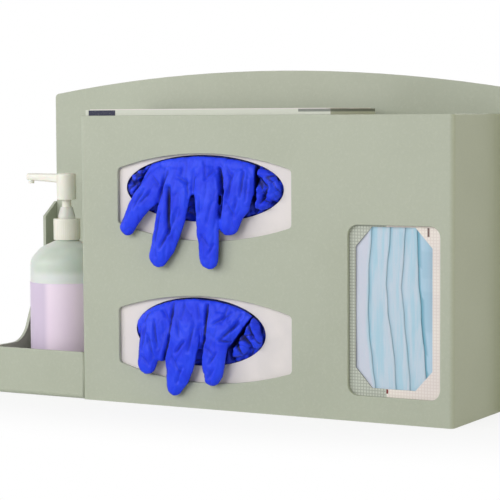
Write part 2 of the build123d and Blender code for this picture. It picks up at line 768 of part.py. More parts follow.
stem_collar = turned((
    (STEM_RADIUS + RUN_GAP, BARREL_TOP - COLLAR_SLEEVE),
    (BARREL_BORE - RUN_GAP, BARREL_TOP - COLLAR_SLEEVE),
    (BARREL_BORE - RUN_GAP, BARREL_TOP),
    (NECK_RADIUS, BARREL_TOP),
    (NECK_RADIUS, COLLAR_SEAT),
    (COLLAR_RADIUS, COLLAR_SEAT),
    (COLLAR_RADIUS, CAP_TOP + COLLAR_STRAIGHT),
    (COLLAR_TIP_RADIUS, COLLAR_TOP),
    (STEM_RADIUS + RUN_GAP, COLLAR_TOP),
))
save(stem_collar, "stem_collar")

pump_piston = turned((
    (STEM_SPIGOT + RUN_GAP, PISTON_FOOT),
    (BARREL_BORE - RUN_GAP, PISTON_FOOT),
    (BARREL_BORE - RUN_GAP, PISTON_FOOT + PISTON_LIP),
    (BARREL_BORE - BARREL_WALL, PISTON_FOOT + PISTON_LIP + PISTON_TAPER),
    (BARREL_BORE - BARREL_WALL, PISTON_TOP - PISTON_LIP - PISTON_TAPER),
    (BARREL_BORE - RUN_GAP, PISTON_TOP - PISTON_LIP),
    (BARREL_BORE - RUN_GAP, PISTON_TOP),
    (STEM_SPIGOT + RUN_GAP, PISTON_TOP),
))
save(pump_piston, "pump_piston")

pump_stem = turned((
    (STEM_BORE, PISTON_FOOT),
    (STEM_SPIGOT, PISTON_FOOT),
    (STEM_SPIGOT, PISTON_TOP + TURN_GAP),
    (STEM_RADIUS, PISTON_TOP + TURN_GAP),
    (STEM_RADIUS, STEM_TOP),
    (STEM_BORE, STEM_TOP),
))
save(pump_stem, "pump_stem")


# ================================================================ pump head
def spout_plane(reach):
    """The plane that cuts the spout square at a distance from the pump's axis."""
    return Plane(origin=(BOTTLE_X - reach, BOTTLE_Y, 0), x_dir=(0, 1, 0), z_dir=(1, 0, 0))


with BuildPart() as pump_head:
    with BuildSketch(Plane(PUMP_AXIS.position).offset(HEAD_FOOT)):
        Circle(HEAD_RADIUS)
    extrude(amount=HEAD_TOP - HEAD_FOOT)
    fillet(pump_head.faces().sort_by(Axis.Z)[-1].edges(), HEAD_ROUND)
    root_reach = HEAD_RADIUS - SPOUT_ROOT_WIDTH / 4
    with BuildSketch(spout_plane(root_reach)):
        with Locations((0, SPOUT_TOP - SPOUT_ROOT_HEIGHT / 2)):
            RectangleRounded(SPOUT_ROOT_WIDTH, SPOUT_ROOT_HEIGHT, HEAD_ROUND)
    with BuildSketch(spout_plane(SPOUT_REACH)):
        with Locations((0, SPOUT_TOP - SPOUT_TIP_HEIGHT / 2)):
            RectangleRounded(SPOUT_TIP_WIDTH, SPOUT_TIP_HEIGHT, HEAD_ROUND)
    loft()
    nozzle_x = BOTTLE_X - SPOUT_REACH + NOZZLE_RADIUS + EDGE_ROUND
    with BuildSketch(Plane((nozzle_x, BOTTLE_Y, SPOUT_BORE_Z))):
        Circle(NOZZLE_RADIUS)
    extrude(amount=-SPOUT_TIP_HEIGHT / 2 - NOZZLE_DROP)
    with BuildSketch(Plane(PUMP_AXIS.position).offset(HEAD_FOOT)):
        Circle(HEAD_CAVITY)
    extrude(amount=HEAD_CEILING - HEAD_FOOT, mode=Mode.SUBTRACT)
    with BuildSketch(Plane(PUMP_AXIS.position).offset(HEAD_CEILING)):
        Circle(STEM_RADIUS + RUN_GAP / 2)
    extrude(amount=HEAD_TOP_HEIGHT, mode=Mode.SUBTRACT)
    with BuildSketch(spout_plane(0)):
        with Locations((0, SPOUT_BORE_Z)):
            Circle(SPOUT_BORE)
    extrude(amount=-(BOTTLE_X - nozzle_x), mode=Mode.SUBTRACT)
    with BuildSketch(Plane((nozzle_x, BOTTLE_Y, SPOUT_BORE_Z))):
        Circle(SPOUT_BORE)
    extrude(amount=-SPOUT_TIP_HEIGHT - NOZZLE_DROP, mode=Mode.SUBTRACT)
save(pump_head.part, "pump_head")
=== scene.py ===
"""Visual model of a wall dispenser for disposable gloves and face masks.

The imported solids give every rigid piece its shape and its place, and this script gives
them their finishes. The gloves, the folded mask, the cartons' closing flaps and what is
printed on the cartons are modelled here. Everything is in metres, in the frame of the
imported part: +Z is up and the front looks along -Y.
"""

import logging
import math
from collections.abc import Callable
from dataclasses import dataclass

import bmesh
import bpy
import numpy as np
from mathutils import Matrix, Vector, noise


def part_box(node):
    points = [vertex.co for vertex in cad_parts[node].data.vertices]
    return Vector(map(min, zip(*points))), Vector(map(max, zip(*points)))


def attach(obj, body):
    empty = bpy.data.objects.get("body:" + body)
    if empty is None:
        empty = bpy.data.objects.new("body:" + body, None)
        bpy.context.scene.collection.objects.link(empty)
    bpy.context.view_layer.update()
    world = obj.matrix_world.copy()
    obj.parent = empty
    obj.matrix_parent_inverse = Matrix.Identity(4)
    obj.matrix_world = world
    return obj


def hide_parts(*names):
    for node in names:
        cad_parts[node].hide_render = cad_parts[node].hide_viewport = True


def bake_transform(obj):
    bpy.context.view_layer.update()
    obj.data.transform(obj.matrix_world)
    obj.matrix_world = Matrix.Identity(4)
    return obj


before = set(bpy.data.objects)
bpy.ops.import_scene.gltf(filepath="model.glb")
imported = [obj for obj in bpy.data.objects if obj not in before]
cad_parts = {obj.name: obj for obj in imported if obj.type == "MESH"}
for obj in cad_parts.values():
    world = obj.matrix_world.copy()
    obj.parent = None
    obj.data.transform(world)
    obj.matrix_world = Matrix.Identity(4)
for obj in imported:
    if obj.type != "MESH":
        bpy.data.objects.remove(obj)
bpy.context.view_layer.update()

logging.basicConfig(level=logging.INFO, format="%(message)s")
log = logging.getLogger("dispenser")

MM = 0.001
ORIGIN = (0.0, 0.0, 0.0)
Colour = tuple[float, float, float, float]
Input = float | tuple | bpy.types.NodeSocket
Sockets = bpy.types.bpy_prop_collection


# ---------------------------------------------------------------- colours and nodes
def screen(red: float, green: float, blue: float) -> Colour:
    """A colour as it reads on screen, from 0 to 255, as the linear one that nodes take.

    Args:
        red: The red level.
        green: The green level.
        blue: The blue level.

    Returns:
        Linear red, green, blue and a full alpha.
    """
    levels = (value / 255 for value in (red, green, blue))
    linear = (
        value / 12.92 if value <= 0.04045 else ((value + 0.055) / 1.055) ** 2.4
        for value in levels
    )
    return (*linear, 1.0)


class Wiring:
    """Adds nodes to one tree and joins them."""

    def __init__(self, tree: bpy.types.NodeTree) -> None:
        """Keeps the tree that the nodes go into.

        Args:
            tree: The tree.
        """
        self.tree = tree

    @classmethod
    def fresh(cls, owner: bpy.types.Material | bpy.types.World) -> "Wiring":
        """Starts an empty tree on a material or a world.

        Args:
            owner: The material or the world.

        Returns:
            The wiring of its tree.
        """
        owner.use_nodes = True
        owner.node_tree.nodes.clear()
        return cls(owner.node_tree)

    def node(self, kind: str, values: dict | None = None, **settings: object) -> bpy.types.Node:
        """Adds one node.

        Args:
            kind: The node's type, without ShaderNode in front.
            values: What goes into its inputs, by name or index: a constant or a socket.
            settings: The node's own properties.

        Returns:
            The new node.
        """
        made = self.tree.nodes.new(f"ShaderNode{kind}")
        for name, value in settings.items():
            setattr(made, name, value)
        self.fill(made, values or {})
        return made

    def fill(self, node: bpy.types.Node, values: dict) -> None:
        """Feeds several inputs of a node.

        Args:
            node: The node.
            values: What goes into its inputs, by name or index: a constant or a socket.
        """
        for key, value in values.items():
            self.feed(node.inputs[key], value)

    def feed(self, socket: bpy.types.NodeSocket, value: Input) -> None:
        """Sets an input to a constant, or joins it to another node's output.

        Args:
            socket: The input.
            value: The constant or the output.
        """
        if isinstance(value, bpy.types.NodeSocket):
            self.tree.links.new(value, socket)
        else:
            socket.default_value = value

    def math(self, operation: str, *values: Input, clamp: bool = False) -> bpy.types.NodeSocket:
        """One step of arithmetic on numbers.

        Args:
            operation: The Math node's operation.
            values: Its inputs, in order.
            clamp: True to keep the result from 0 to 1.

        Returns:
            The result's socket.
        """
        made = self.node("Math", dict(enumerate(values)), operation=operation, use_clamp=clamp)
        return made.outputs[0]

    def product(self, first: Input, *others: Input) -> bpy.types.NodeSocket:
        """Multiplies masks, or weakens one by an amount.

        Args:
            first: The first mask.
            others: The others, or how much of the first is left.

        Returns:
            The product's socket.
        """
        for other in others:
            first = self.math("MULTIPLY", first, other)
        return first

    def vector(self, operation: str, *values: Input) -> bpy.types.NodeSocket:
        """One step of arithmetic on points.

        Args:
            operation: The Vector Math node's operation.
            values: Its inputs, in order.

        Returns:
            The result's socket: a number for a length or a product of two, else a point.
        """
        made = self.node("VectorMath", dict(enumerate(values)), operation=operation)
        return made.outputs["Value" if operation in ("LENGTH", "DOT_PRODUCT") else "Vector"]

    def mix(self, factor: Input, first: Input, second: Input) -> bpy.types.NodeSocket:
        """Mixes two colours.

        Args:
            factor: How much of the second colour shows.
            first: The first colour.
            second: The second colour.

        Returns:
            The mixed colour's socket.
        """
        return self.node("Mix", {0: factor, 6: first, 7: second}, data_type="RGBA").outputs[2]

    def span(
        self, value: Input, low: Input, high: Input, first: Input = 0.0, last: Input = 1.0
    ) -> bpy.types.NodeSocket:
        """Brings a number from one span into another, with smooth ends.

        Args:
            value: The number.
            low: Where the first span starts.
            high: Where the first span ends.
            first: What low becomes.
            last: What high becomes.

        Returns:
            The result's socket.
        """
        values = {0: value, 1: low, 2: high, 3: first, 4: last}
        return self.node("MapRange", values, interpolation_type="SMOOTHSTEP").outputs[0]

    def noise(
        self, where: Input, scale: Input, detail: float = 2.0, rough: float = 0.5, warp: float = 0.0
    ) -> bpy.types.NodeSocket:
        """Smooth noise from 0 to 1.

        Args:
            where: The point.
            scale: How many waves there are to a metre.
            detail: How many finer layers it has.
            rough: How strong the finer layers are.
            warp: How far it is twisted.

        Returns:
            The noise's socket.
        """
        layers = {"Detail": detail, "Roughness": rough, "Distortion": warp}
        return self.node("TexNoise", {"Vector": where, "Scale": scale, **layers}).outputs[0]

    def place(self) -> bpy.types.NodeSocket:
        """The point on the piece.

        Returns:
            Its socket, in metres.
        """
        return self.node("TexCoord").outputs["Object"]

    def stretched(self, where: Input, scale: tuple) -> bpy.types.NodeSocket:
        """A point with each of its directions scaled.

        Args:
            where: The point.
            scale: The three scales.

        Returns:
            The scaled point's socket.
        """
        return self.node("Mapping", {"Vector": where, "Scale": scale}).outputs[0]

    def axis(self, where: Input, index: int) -> bpy.types.NodeSocket:
        """One coordinate of a point.

        Args:
            where: The point.
            index: 0 for X, 1 for Y and 2 for Z.

        Returns:
            The coordinate's socket.
        """
        return self.node("SeparateXYZ", {0: where}).outputs[index]

    def named(self, attribute: str) -> bpy.types.NodeSocket:
        """A number that the mesh carries.

        Args:
            attribute: The attribute's name.

        Returns:
            Its socket.
        """
        return self.node("Attribute", None, attribute_name=attribute).outputs["Fac"]


class Effect:
    """The effects that several finishes share, each one group of nodes that is built once."""

    built: dict[str, bpy.types.NodeTree] = {}

    @classmethod
    def group(
        cls, name: str, inputs: dict, output: str, wire: Callable[[Wiring, Sockets], Input]
    ) -> bpy.types.NodeTree:
        """Builds a group, or finds the one that is there.

        Args:
            name: The group's name.
            inputs: Each input's name, with its default; a tuple makes a vector.
            output: The name of the number that it gives.
            wire: Wires the group's inputs, and returns what the output takes.

        Returns:
            The group's tree.
        """
        if name in cls.built:
            return cls.built[name]
        tree = bpy.data.node_groups.new(name, "ShaderNodeTree")
        for label, default in inputs.items():
            kind = "NodeSocketVector" if isinstance(default, tuple) else "NodeSocketFloat"
            socket = tree.interface.new_socket(name=label, in_out="INPUT", socket_type=kind)
            socket.default_value = default
        tree.interface.new_socket(name=output, in_out="OUTPUT", socket_type="NodeSocketFloat")
        wires = Wiring(tree)
        entry, leave = tree.nodes.new("NodeGroupInput"), tree.nodes.new("NodeGroupOutput")
        wires.feed(leave.inputs[output], wire(wires, entry.outputs))
        cls.built[name] = tree
        return tree

    @classmethod
    def flecks(cls) -> bpy.types.NodeTree:
        """Small soft specks: Where, Size to a metre, and Share give a Mask.

        Returns:
            The group's tree.
        """

        def wire(wires: Wiring, given: Sockets) -> Input:
            """Cuts a layer of noise off at the share.

            Args:
                wires: The group's wiring.
                given: The group's inputs.

            Returns:
                The mask.
            """
            fine = wires.noise(given["Where"], given["Size"], 3.0, 0.65)
            low = wires.math("SUBTRACT", 1.0, given["Share"])
            return wires.span(fine, low, wires.math("ADD", low, 0.12))

        return cls.group("flecks", {"Where": ORIGIN, "Size": 900.0, "Share": 0.4}, "Mask", wire)

    @classmethod
    def grain(cls) -> bpy.types.NodeTree:
        """The fine tooth of a moulded or pressed surface: Where and Size give a Height.

        Returns:
            The group's tree.
        """

        def wire(wires: Wiring, given: Sockets) -> Input:
            """Adds a fine and a coarse layer.

            Args:
                wires: The group's wiring.
                given: The group's inputs.

            Returns:
                The height.
            """
            fine = wires.noise(given["Where"], given["Size"], 3.0, 0.6)
            coarse = wires.noise(given["Where"], wires.product(given["Size"], 0.17), 2.0)
            return wires.math("ADD", fine, wires.product(coarse, 0.8))

        return cls.group("grain", {"Where": ORIGIN, "Size": 1500.0}, "Height", wire)

    @classmethod
    def rub(cls) -> bpy.types.NodeTree:
        """Where edges are rubbed: Where and Radius give an Edge mask, broken up by noise.

        Returns:
            The group's tree.
        """

        def wire(wires: Wiring, given: Sockets) -> Input:
            """Compares the surface's normal with a rounded one.

            Args:
                wires: The group's wiring.
                given: The group's inputs.

            Returns:
                The mask of the edges.
            """
            soft = wires.node("Bevel", {"Radius": given["Radius"]}, samples=4).outputs[0]
            hard = wires.node("NewGeometry").outputs["Normal"]
            edge = wires.span(wires.vector("DOT_PRODUCT", soft, hard), 0.995, 0.86)
            broken = wires.noise(given["Where"], 160.0, 3.0)
            return wires.product(edge, wires.span(broken, 0.35, 0.62))

        return cls.group("rub", {"Where": ORIGIN, "Radius": 0.0012}, "Edge", wire)

    @classmethod
    def panel(cls) -> bpy.types.NodeTree:
        """A printed field: Where, its Middle and its Half size give a Mask.

        Returns:
            The group's tree.
        """

        def wire(wires: Wiring, given: Sockets) -> Input:
            """Multiplies three bands with crisp edges.

            Args:
                wires: The group's wiring.
                given: The group's inputs.

            Returns:
                The mask of the field.
            """
            away = wires.vector("SUBTRACT", given["Where"], given["Middle"])
            over = wires.vector("SUBTRACT", given["Half"], wires.vector("ABSOLUTE", away))
            bands = [wires.span(wires.axis(over, k), -0.0001, 0.0001) for k in range(3)]
            return wires.product(bands[0], bands[2], bands[1])

        inputs = {"Where": ORIGIN, "Middle": ORIGIN, "Half": (0.01, 0.01, 0.01)}
        return cls.group("panel", inputs, "Mask", wire)

    @classmethod
    def lattice(cls) -> bpy.types.NodeTree:
        """Fine ruled lines both ways: Where and Pitch give a Mask.

        Returns:
            The group's tree.
        """

        def wire(wires: Wiring, given: Sockets) -> Input:
            """Takes the larger of the lines across and the lines up.

            Args:
                wires: The group's wiring.
                given: The group's inputs.

            Returns:
                The mask of the lines.
            """
            lines = []
            for k in (0, 2):
                step = wires.math("DIVIDE", wires.axis(given["Where"], k), given["Pitch"])
                lines.append(wires.span(wires.math("PINGPONG", step, 0.5), 0.2, 0.06))
            return wires.math("MAXIMUM", *lines)

        return cls.group("lattice", {"Where": ORIGIN, "Pitch": 0.003}, "Mask", wire)


# ---------------------------------------------------------------- finishes
@dataclass(frozen=True)
class Finish:
    """What every finish has: its name and how rough it is."""

    name: str = "finish"
    rough: float = 0.5

    def start(self) -> tuple[Wiring, bpy.types.Node, bpy.types.Material]:
        """Makes a material with one principled shader.

        Returns:
            The wiring, the shader's node and the material.
        """
        made = bpy.data.materials.new(f"{self.name}_finish")
        wires = Wiring.fresh(made)
        shader = wires.node("BsdfPrincipled")
        wires.node("OutputMaterial", {"Surface": shader.outputs[0]})
        return wires, shader, made

    def use(self, wires: Wiring, tree: bpy.types.NodeTree, **values: Input) -> bpy.types.NodeSocket:
        """Places a shared effect in the material.

        Args:
            wires: The material's wiring.
            tree: The effect's group.
            values: What goes into its inputs.

        Returns:
            What the effect gives.
        """
        made = wires.node("Group", None, node_tree=tree)
        wires.fill(made, values)
        return made.outputs[0]

    def bump(
        self, wires: Wiring, shader: bpy.types.Node, height: Input, strength: float, rise: float
    ) -> None:
        """Feeds a height to the shader's normal.

        Args:
            wires: The material's wiring.
            shader: The shader's node.
            height: The height's socket.
            strength: How strongly it shows.
            rise: How high one unit of height is, in metres.
        """
        made = wires.node("Bump", {"Height": height, "Strength": strength, "Distance": rise})
        wires.feed(shader.inputs["Normal"], made.outputs[0])


@dataclass(frozen=True)
class StonePlastic(Finish):
    """Sheet plastic in a pale stone colour, with dark and pale specks all through it.

    The sizes of its patterns are given as how many there are to a metre.
    """

    name: str = "stone_plastic"
    rough: float = 0.46
    base: Colour = screen(184, 190, 172)
    dark: Colour = screen(158, 163, 143)
    pale: Colour = screen(204, 207, 193)
    drift_size: float = 14.0
    cloud_size: float = 420.0
    speck_size: float = 1350.0
    grain_size: float = 1900.0
    tooth_size: float = 1700.0
    edge_radius: float = 0.001

    def build(self) -> bpy.types.Material:
        """Wires specks, slow mottling, rubbed edges and a fine tooth.

        Returns:
            The material.
        """
        wires, shader, made = self.start()
        where = wires.place()
        drift = wires.noise(where, self.drift_size, 3.0)
        colour = wires.mix(wires.span(drift, 0.35, 0.7, 0.0, 0.14), self.base, self.dark)
        clouds = wires.noise(where, self.cloud_size, 2.0, 0.6)
        colour = wires.mix(wires.span(clouds, 0.45, 0.75, 0.0, 0.2), colour, self.pale)
        specks = self.use(wires, Effect.flecks(), Where=where, Size=self.speck_size, Share=0.42)
        colour = wires.mix(wires.product(specks, 0.34), colour, self.dark)
        grains = self.use(wires, Effect.flecks(), Where=where, Size=self.grain_size, Share=0.36)
        colour = wires.mix(wires.product(grains, 0.42), colour, self.pale)
        edges = self.use(wires, Effect.rub(), Where=where, Radius=self.edge_radius)
        colour = wires.mix(wires.product(edges, 0.35), colour, self.pale)
        rough = wires.span(clouds, 0.2, 0.8, self.rough - 0.05, self.rough + 0.08)
        wires.fill(shader, {"Base Color": colour, "Roughness": rough})
        tooth = self.use(wires, Effect.grain(), Where=where, Size=self.tooth_size)
        self.bump(wires, shader, tooth, 0.2, 0.00012)
        return made


@dataclass(frozen=True)
class Print:
    """One printed field on a carton's front: its middle, half size, colour and strength.

    Places and sizes are in millimetres. A pitch above nothing rules the field with lines.
    """

    x: float
    z: float
    half_x: float
    half_z: float
    colour: Colour
    strength: float = 1.0
    pitch: float = 0.0


@dataclass(frozen=True)
class Board(Finish):
    """Folding carton board with plain printed fields on it, and a grey core at its cut edges."""

    name: str = "board"
    rough: float = 0.55
    face: Colour = screen(240, 233, 231)
    tint: Colour = screen(231, 225, 224)
    core: Colour = screen(150, 143, 132)
    front: float = -50.5
    thick: float = 0.8
    drift_size: float = 34.0
    ink_size: float = 900.0
    fibre_size: float = 2200.0
    prints: tuple[Print, ...] = ()

    def build(self) -> bpy.types.Material:
        """Wires the board's tone, its fields, its cut edges and its fibres.

        Returns:
            The material.
        """
        wires, shader, made = self.start()
        where = wires.place()
        drift = wires.noise(where, self.drift_size, 3.0)
        colour = wires.mix(wires.span(drift, 0.35, 0.68), self.face, self.tint)
        ink = wires.span(wires.noise(where, self.ink_size, 2.0), 0.2, 0.45, 0.86, 1.0)
        for one in self.prints:
            middle = (one.x * MM, 0.0, one.z * MM)
            half = (one.half_x * MM, 0.2, one.half_z * MM)
            mask = self.use(wires, Effect.panel(), Where=where, Middle=middle, Half=half)
            if one.pitch:
                ruled = self.use(wires, Effect.lattice(), Where=where, Pitch=one.pitch * MM)
                mask = wires.product(mask, ruled)
            mask = wires.product(mask, wires.product(ink, one.strength))
            colour = wires.mix(mask, colour, one.colour)
        facing = wires.axis(wires.node("NewGeometry").outputs["Normal"], 1)
        depth = wires.axis(where, 1)
        in_board = wires.math("LESS_THAN", depth, (self.front + self.thick - 0.05) * MM)
        behind = wires.math("GREATER_THAN", depth, (self.front + 0.02) * MM)
        inward = wires.math("GREATER_THAN", facing, -0.7)
        cut = wires.product(in_board, inward, behind, 0.8)
        colour = wires.mix(cut, colour, self.core)
        fibres = wires.noise(wires.stretched(where, (1.0, 1.0, 0.25)), self.fibre_size, 3.0)
        rough = wires.span(fibres, 0.3, 0.7, self.rough - 0.08, self.rough + 0.08)
        wires.fill(shader, {"Base Color": colour, "Roughness": rough})
        self.bump(wires, shader, fibres, 0.25, 0.0001)
        return made


@dataclass(frozen=True)
class Nitrile(Finish):
    """Thin blue glove rubber: satin, finely wrinkled, with painted shade in folds and at rims."""

    name: str = "blue_nitrile"
    rough: float = 0.46
    bright: Colour = screen(32, 70, 255)
    deep: Colour = screen(22, 50, 238)
    shade: Colour = screen(4, 6, 66)
    reach: float = 0.010
    cloud_size: float = 60.0
    wrinkle_size: float = 330.0
    tooth_size: float = 3200.0

    def build(self) -> bpy.types.Material:
        """Wires painted shade by how deep a fold is, by how closed in a point is and where the
        surface turns away from the view, and the fine wrinkles.

        Returns:
            The material.
        """
        wires, shader, made = self.start()
        where = wires.place()
        cloudy = wires.noise(where, self.cloud_size, 3.0, 0.5)
        colour = wires.mix(wires.span(cloudy, 0.35, 0.7, 0.0, 0.7), self.bright, self.deep)
        # painted shade down in folds, creases and pits, from the mesh's fold mark
        fold = wires.span(wires.named("fold"), 0.12, 0.95)
        # painted shade where the skin is closed in, from ambient occlusion
        near = wires.node("AmbientOcclusion", {"Distance": self.reach}, samples=8).outputs["AO"]
        closed = wires.span(near, 0.75, 0.2, 0.0, 0.95)
        colour = wires.mix(wires.math("MAXIMUM", fold, closed), colour, self.shade)
        # painted shade where the surface turns away from the view, as a dark outline
        grazing = wires.node("LayerWeight", {"Blend": 0.5}).outputs["Facing"]
        colour = wires.mix(wires.span(grazing, 0.4, 0.95, 0.0, 0.75), colour, self.shade)
        rough = wires.span(cloudy, 0.2, 0.8, self.rough - 0.05, self.rough + 0.1)
        wires.fill(shader, {"Base Color": colour, "Roughness": rough, "Specular IOR Level": 0.3})
        drawn = wires.stretched(where, (1.0, 0.6, 0.35))
        wrinkles = wires.noise(drawn, self.wrinkle_size, 4.0, 0.55, 0.6)
        tooth = wires.noise(where, self.tooth_size, 2.0)
        height = wires.math("ADD", wrinkles, wires.product(tooth, 0.1))
        self.bump(wires, shader, height, 0.3, 0.0011)
        return made


@dataclass(frozen=True)
class MaskFabric(Finish):
    """Spun fabric of a folded mask: fine fibres, the dot pattern that bonds them, and painted
    shade and highlights beside its folds.
    """

    name: str = "mask_fabric"
    rough: float = 0.85
    base: Colour = screen(206, 222, 238)
    tint: Colour = screen(181, 217, 236)
    inner: Colour = screen(219, 221, 237)
    outer: Colour = screen(182, 216, 240)
    shade: Colour = screen(120, 178, 202)
    streak_size: float = 210.0
    fibre_size: float = 1900.0
    dot_size: float = 850.0

    def build(self) -> bpy.types.Material:
        """Wires streaks, fibres, bonded dots, painted shade and highlights beside the folds, and a
        soft sheen.

        Returns:
            The material.
        """
        wires, shader, made = self.start()
        where = wires.place()
        layer = wires.named("layer")
        upright = wires.stretched(where, (1.0, 1.0, 0.1))
        streaks = wires.noise(upright, self.streak_size, 3.0, 0.6, 0.3)
        colour = wires.mix(wires.span(streaks, 0.36, 0.64), self.base, self.tint)
        # the layer mark: the paler inner layer at the left, and a painted highlight beside each
        # fold edge
        colour = wires.mix(wires.span(layer, 0.1, 0.9, 0.0, 0.85), colour, self.inner)
        colour = wires.mix(wires.span(layer, -0.1, -0.9, 0.0, 0.65), colour, self.outer)
        drawn = wires.stretched(where, (1.0, 1.0, 0.2))
        fibres = wires.noise(drawn, self.fibre_size, 4.0, 0.7, 0.4)
        colour = wires.mix(wires.span(fibres, 0.4, 0.85, 0.0, 0.25), colour, self.tint)
        wires.fill(shader, {
            # painted shade beside each fold, from the fold mark
            "Base Color": wires.mix(wires.named("fold"), colour, self.shade),
            "Roughness": self.rough,
            "Sheen Weight": 0.25,
            "Sheen Roughness": 0.5,
        })
        even = {"Vector": where, "Scale": self.dot_size, "Randomness": 0.15}
        cells = wires.node("TexVoronoi", even)
        dots = wires.span(cells.outputs["Distance"], 0.1, 0.32)
        height = wires.math("ADD", dots, wires.product(fibres, 0.6))
        self.bump(wires, shader, height, 0.35, 0.00012)
        return made


@dataclass(frozen=True)
class Moulded(Finish):
    """Moulded plastic or film, with a faint flow and a fine tooth, and painted shading where
    its surface turns away from the view, darker than its face on some pieces, paler on others.

    The band, from its foot to its top in millimetres, is where the piece turns paler.
    """

    name: str = "moulded"
    rough: float = 0.35
    base: Colour = screen(236, 232, 218)
    tint: Colour = screen(222, 220, 204)
    painted_rim_shading: Colour = screen(214, 211, 194)
    band: tuple[float, float] = (0.0, 0.0)
    band_fade: float = 7.0
    band_colour: Colour = screen(234, 236, 230)
    edge: tuple[float, float] = (0.35, 0.85)
    through: float = 0.0
    under: float = 0.0
    flow_size: float = 60.0
    tooth_size: float = 900.0

    def build(self) -> bpy.types.Material:
        """Wires a soft drift of colour, the band, the painted shading at grazing angles and a light
        bump.

        Returns:
            The material.
        """
        wires, shader, made = self.start()
        where = wires.place()
        flow = wires.noise(wires.stretched(where, (1.0, 1.0, 0.4)), self.flow_size, 3.0)
        colour = wires.mix(wires.span(flow, 0.35, 0.7), self.base, self.tint)
        foot, top = self.band
        if top > 0.0:
            height = wires.axis(where, 2)
            below = wires.span(height, top * MM, (top - self.band_fade) * MM)
            above = wires.math("GREATER_THAN", height, foot * MM)
            colour = wires.mix(wires.product(below, above), colour, self.band_colour)
        # painted shading: the edge colour takes over where the surface turns away from the view
        grazing = wires.node("LayerWeight", {"Blend": 0.5}).outputs["Facing"]
        colour = wires.mix(wires.span(grazing, *self.edge), colour, self.painted_rim_shading)
        wires.fill(shader, {
            "Base Color": colour,
            "Roughness": wires.span(flow, 0.2, 0.8, self.rough - 0.05, self.rough + 0.07),
            "Transmission Weight": self.through,
            "Subsurface Weight": self.under,
            "Subsurface Scale": 0.004,
        })
        tooth = self.use(wires, Effect.grain(), Where=where, Size=self.tooth_size)
        self.bump(wires, shader, tooth, 0.12, 0.0001)
        return made


@dataclass(frozen=True)
class Metal(Finish):
    """Bright steel wire or ball, with fine drawing marks."""

    name: str = "steel"
    rough: float = 0.25
    base: Colour = screen(190, 192, 194)
    dull: Colour = screen(160, 162, 166)
    mark_size: float = 2400.0

    def build(self) -> bpy.types.Material:
        """Wires metal with fine marks.

        Returns:
            The material.
        """
        wires, shader, made = self.start()
        marks = wires.noise(wires.place(), self.mark_size, 2.0)
        wires.fill(shader, {
            "Base Color": wires.mix(wires.span(marks, 0.3, 0.7), self.base, self.dull),
            "Roughness": wires.span(marks, 0.2, 0.8, self.rough, self.rough + 0.15),
            "Metallic": 1.0,
        })
        return made


# ---------------------------------------------------------------- mesh helpers
def dress(material: bpy.types.Material, *names: str) -> None:
    """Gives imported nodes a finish.

    Args:
        material: The finish's material.
        names: The nodes' names.
    """
    for name in names:
        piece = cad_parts[name]
        if piece.material_slots:
            for slot in piece.material_slots:
                slot.material = material
        else:
            piece.data.materials.append(material)
        log.info("dressed %s in %s", name, material.name)


def linked(made: bmesh.types.BMesh, name: str, material: bpy.types.Material) -> bpy.types.Object:
    """Turns a bmesh into an object of one material.

    Args:
        made: The bmesh, which is freed.
        name: The object's name.
        material: The material.

    Returns:
        The object.
    """
    mesh = bpy.data.meshes.new(name)
    made.to_mesh(mesh)
    made.free()
    mesh.materials.append(material)
    piece = bpy.data.objects.new(name, mesh)
    bpy.context.collection.objects.link(piece)
    return piece


def settle(
    made: bmesh.types.BMesh, name: str, material: bpy.types.Material, body: str = "dispenser"
) -> bpy.types.Object:
    """Turns a bmesh into a smooth piece that rides on a body.

    Args:
        made: The bmesh, which is freed.
        name: The piece's name.
        material: Its material.
        body: The body, or nothing for a piece that rides on none.

    Returns:
        The piece's object.
    """
    bmesh.ops.recalc_face_normals(made, faces=made.faces)
    piece = linked(made, name, material)
    piece.data.shade_smooth()
    if body:
        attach(piece, body)
    log.info("made %s with %d faces", name, len(piece.data.polygons))
    return piece


def baked(piece: bpy.types.Object) -> None:
    """Applies all the modifiers of a piece to its mesh.

    Args:
        piece: The piece.
    """
    graph = bpy.context.evaluated_depsgraph_get()
    graph.update()
    mesh = bpy.data.meshes.new_from_object(piece.evaluated_get(graph))
    piece.modifiers.clear()
    old, piece.data = piece.data, mesh
    bpy.data.meshes.remove(old)
    mesh.shade_smooth()


def joined(piece: bpy.types.Object, voxel: float, rounds: int) -> None:
    """Melts overlapping closed forms into one skin.

    Args:
        piece: The piece.
        voxel: The skin's step, in metres.
        rounds: How often it is smoothed.
    """
    melt = piece.modifiers.new("melt", "REMESH")
    melt.mode = "VOXEL"
    melt.voxel_size = voxel * 1.0
    calm = piece.modifiers.new("calm", "SMOOTH")
    calm.factor, calm.iterations = 0.5, rounds
    baked(piece)


def placed(*moves: Matrix) -> Matrix:
    """A placing in millimetres, as one in metres.

    Args:
        moves: The placings, the last of which comes first.

    Returns:
        Their product.
    """
    whole = Matrix.Scale(MM, 4)
    for move in moves:
        whole = whole @ move
    return whole


def block(made: bmesh.types.BMesh, middle: Vector, size: Vector) -> list[bmesh.types.BMVert]:
    """Adds a block.

    Args:
        made: The bmesh that it goes into.
        middle: Its middle, in millimetres.
        size: Its three sizes, in millimetres.

    Returns:
        Its points.
    """
    where = placed(Matrix.Translation(middle), Matrix.Diagonal((*size, 1.0)))
    return bmesh.ops.create_cube(made, size=1.0, matrix=where)["verts"]


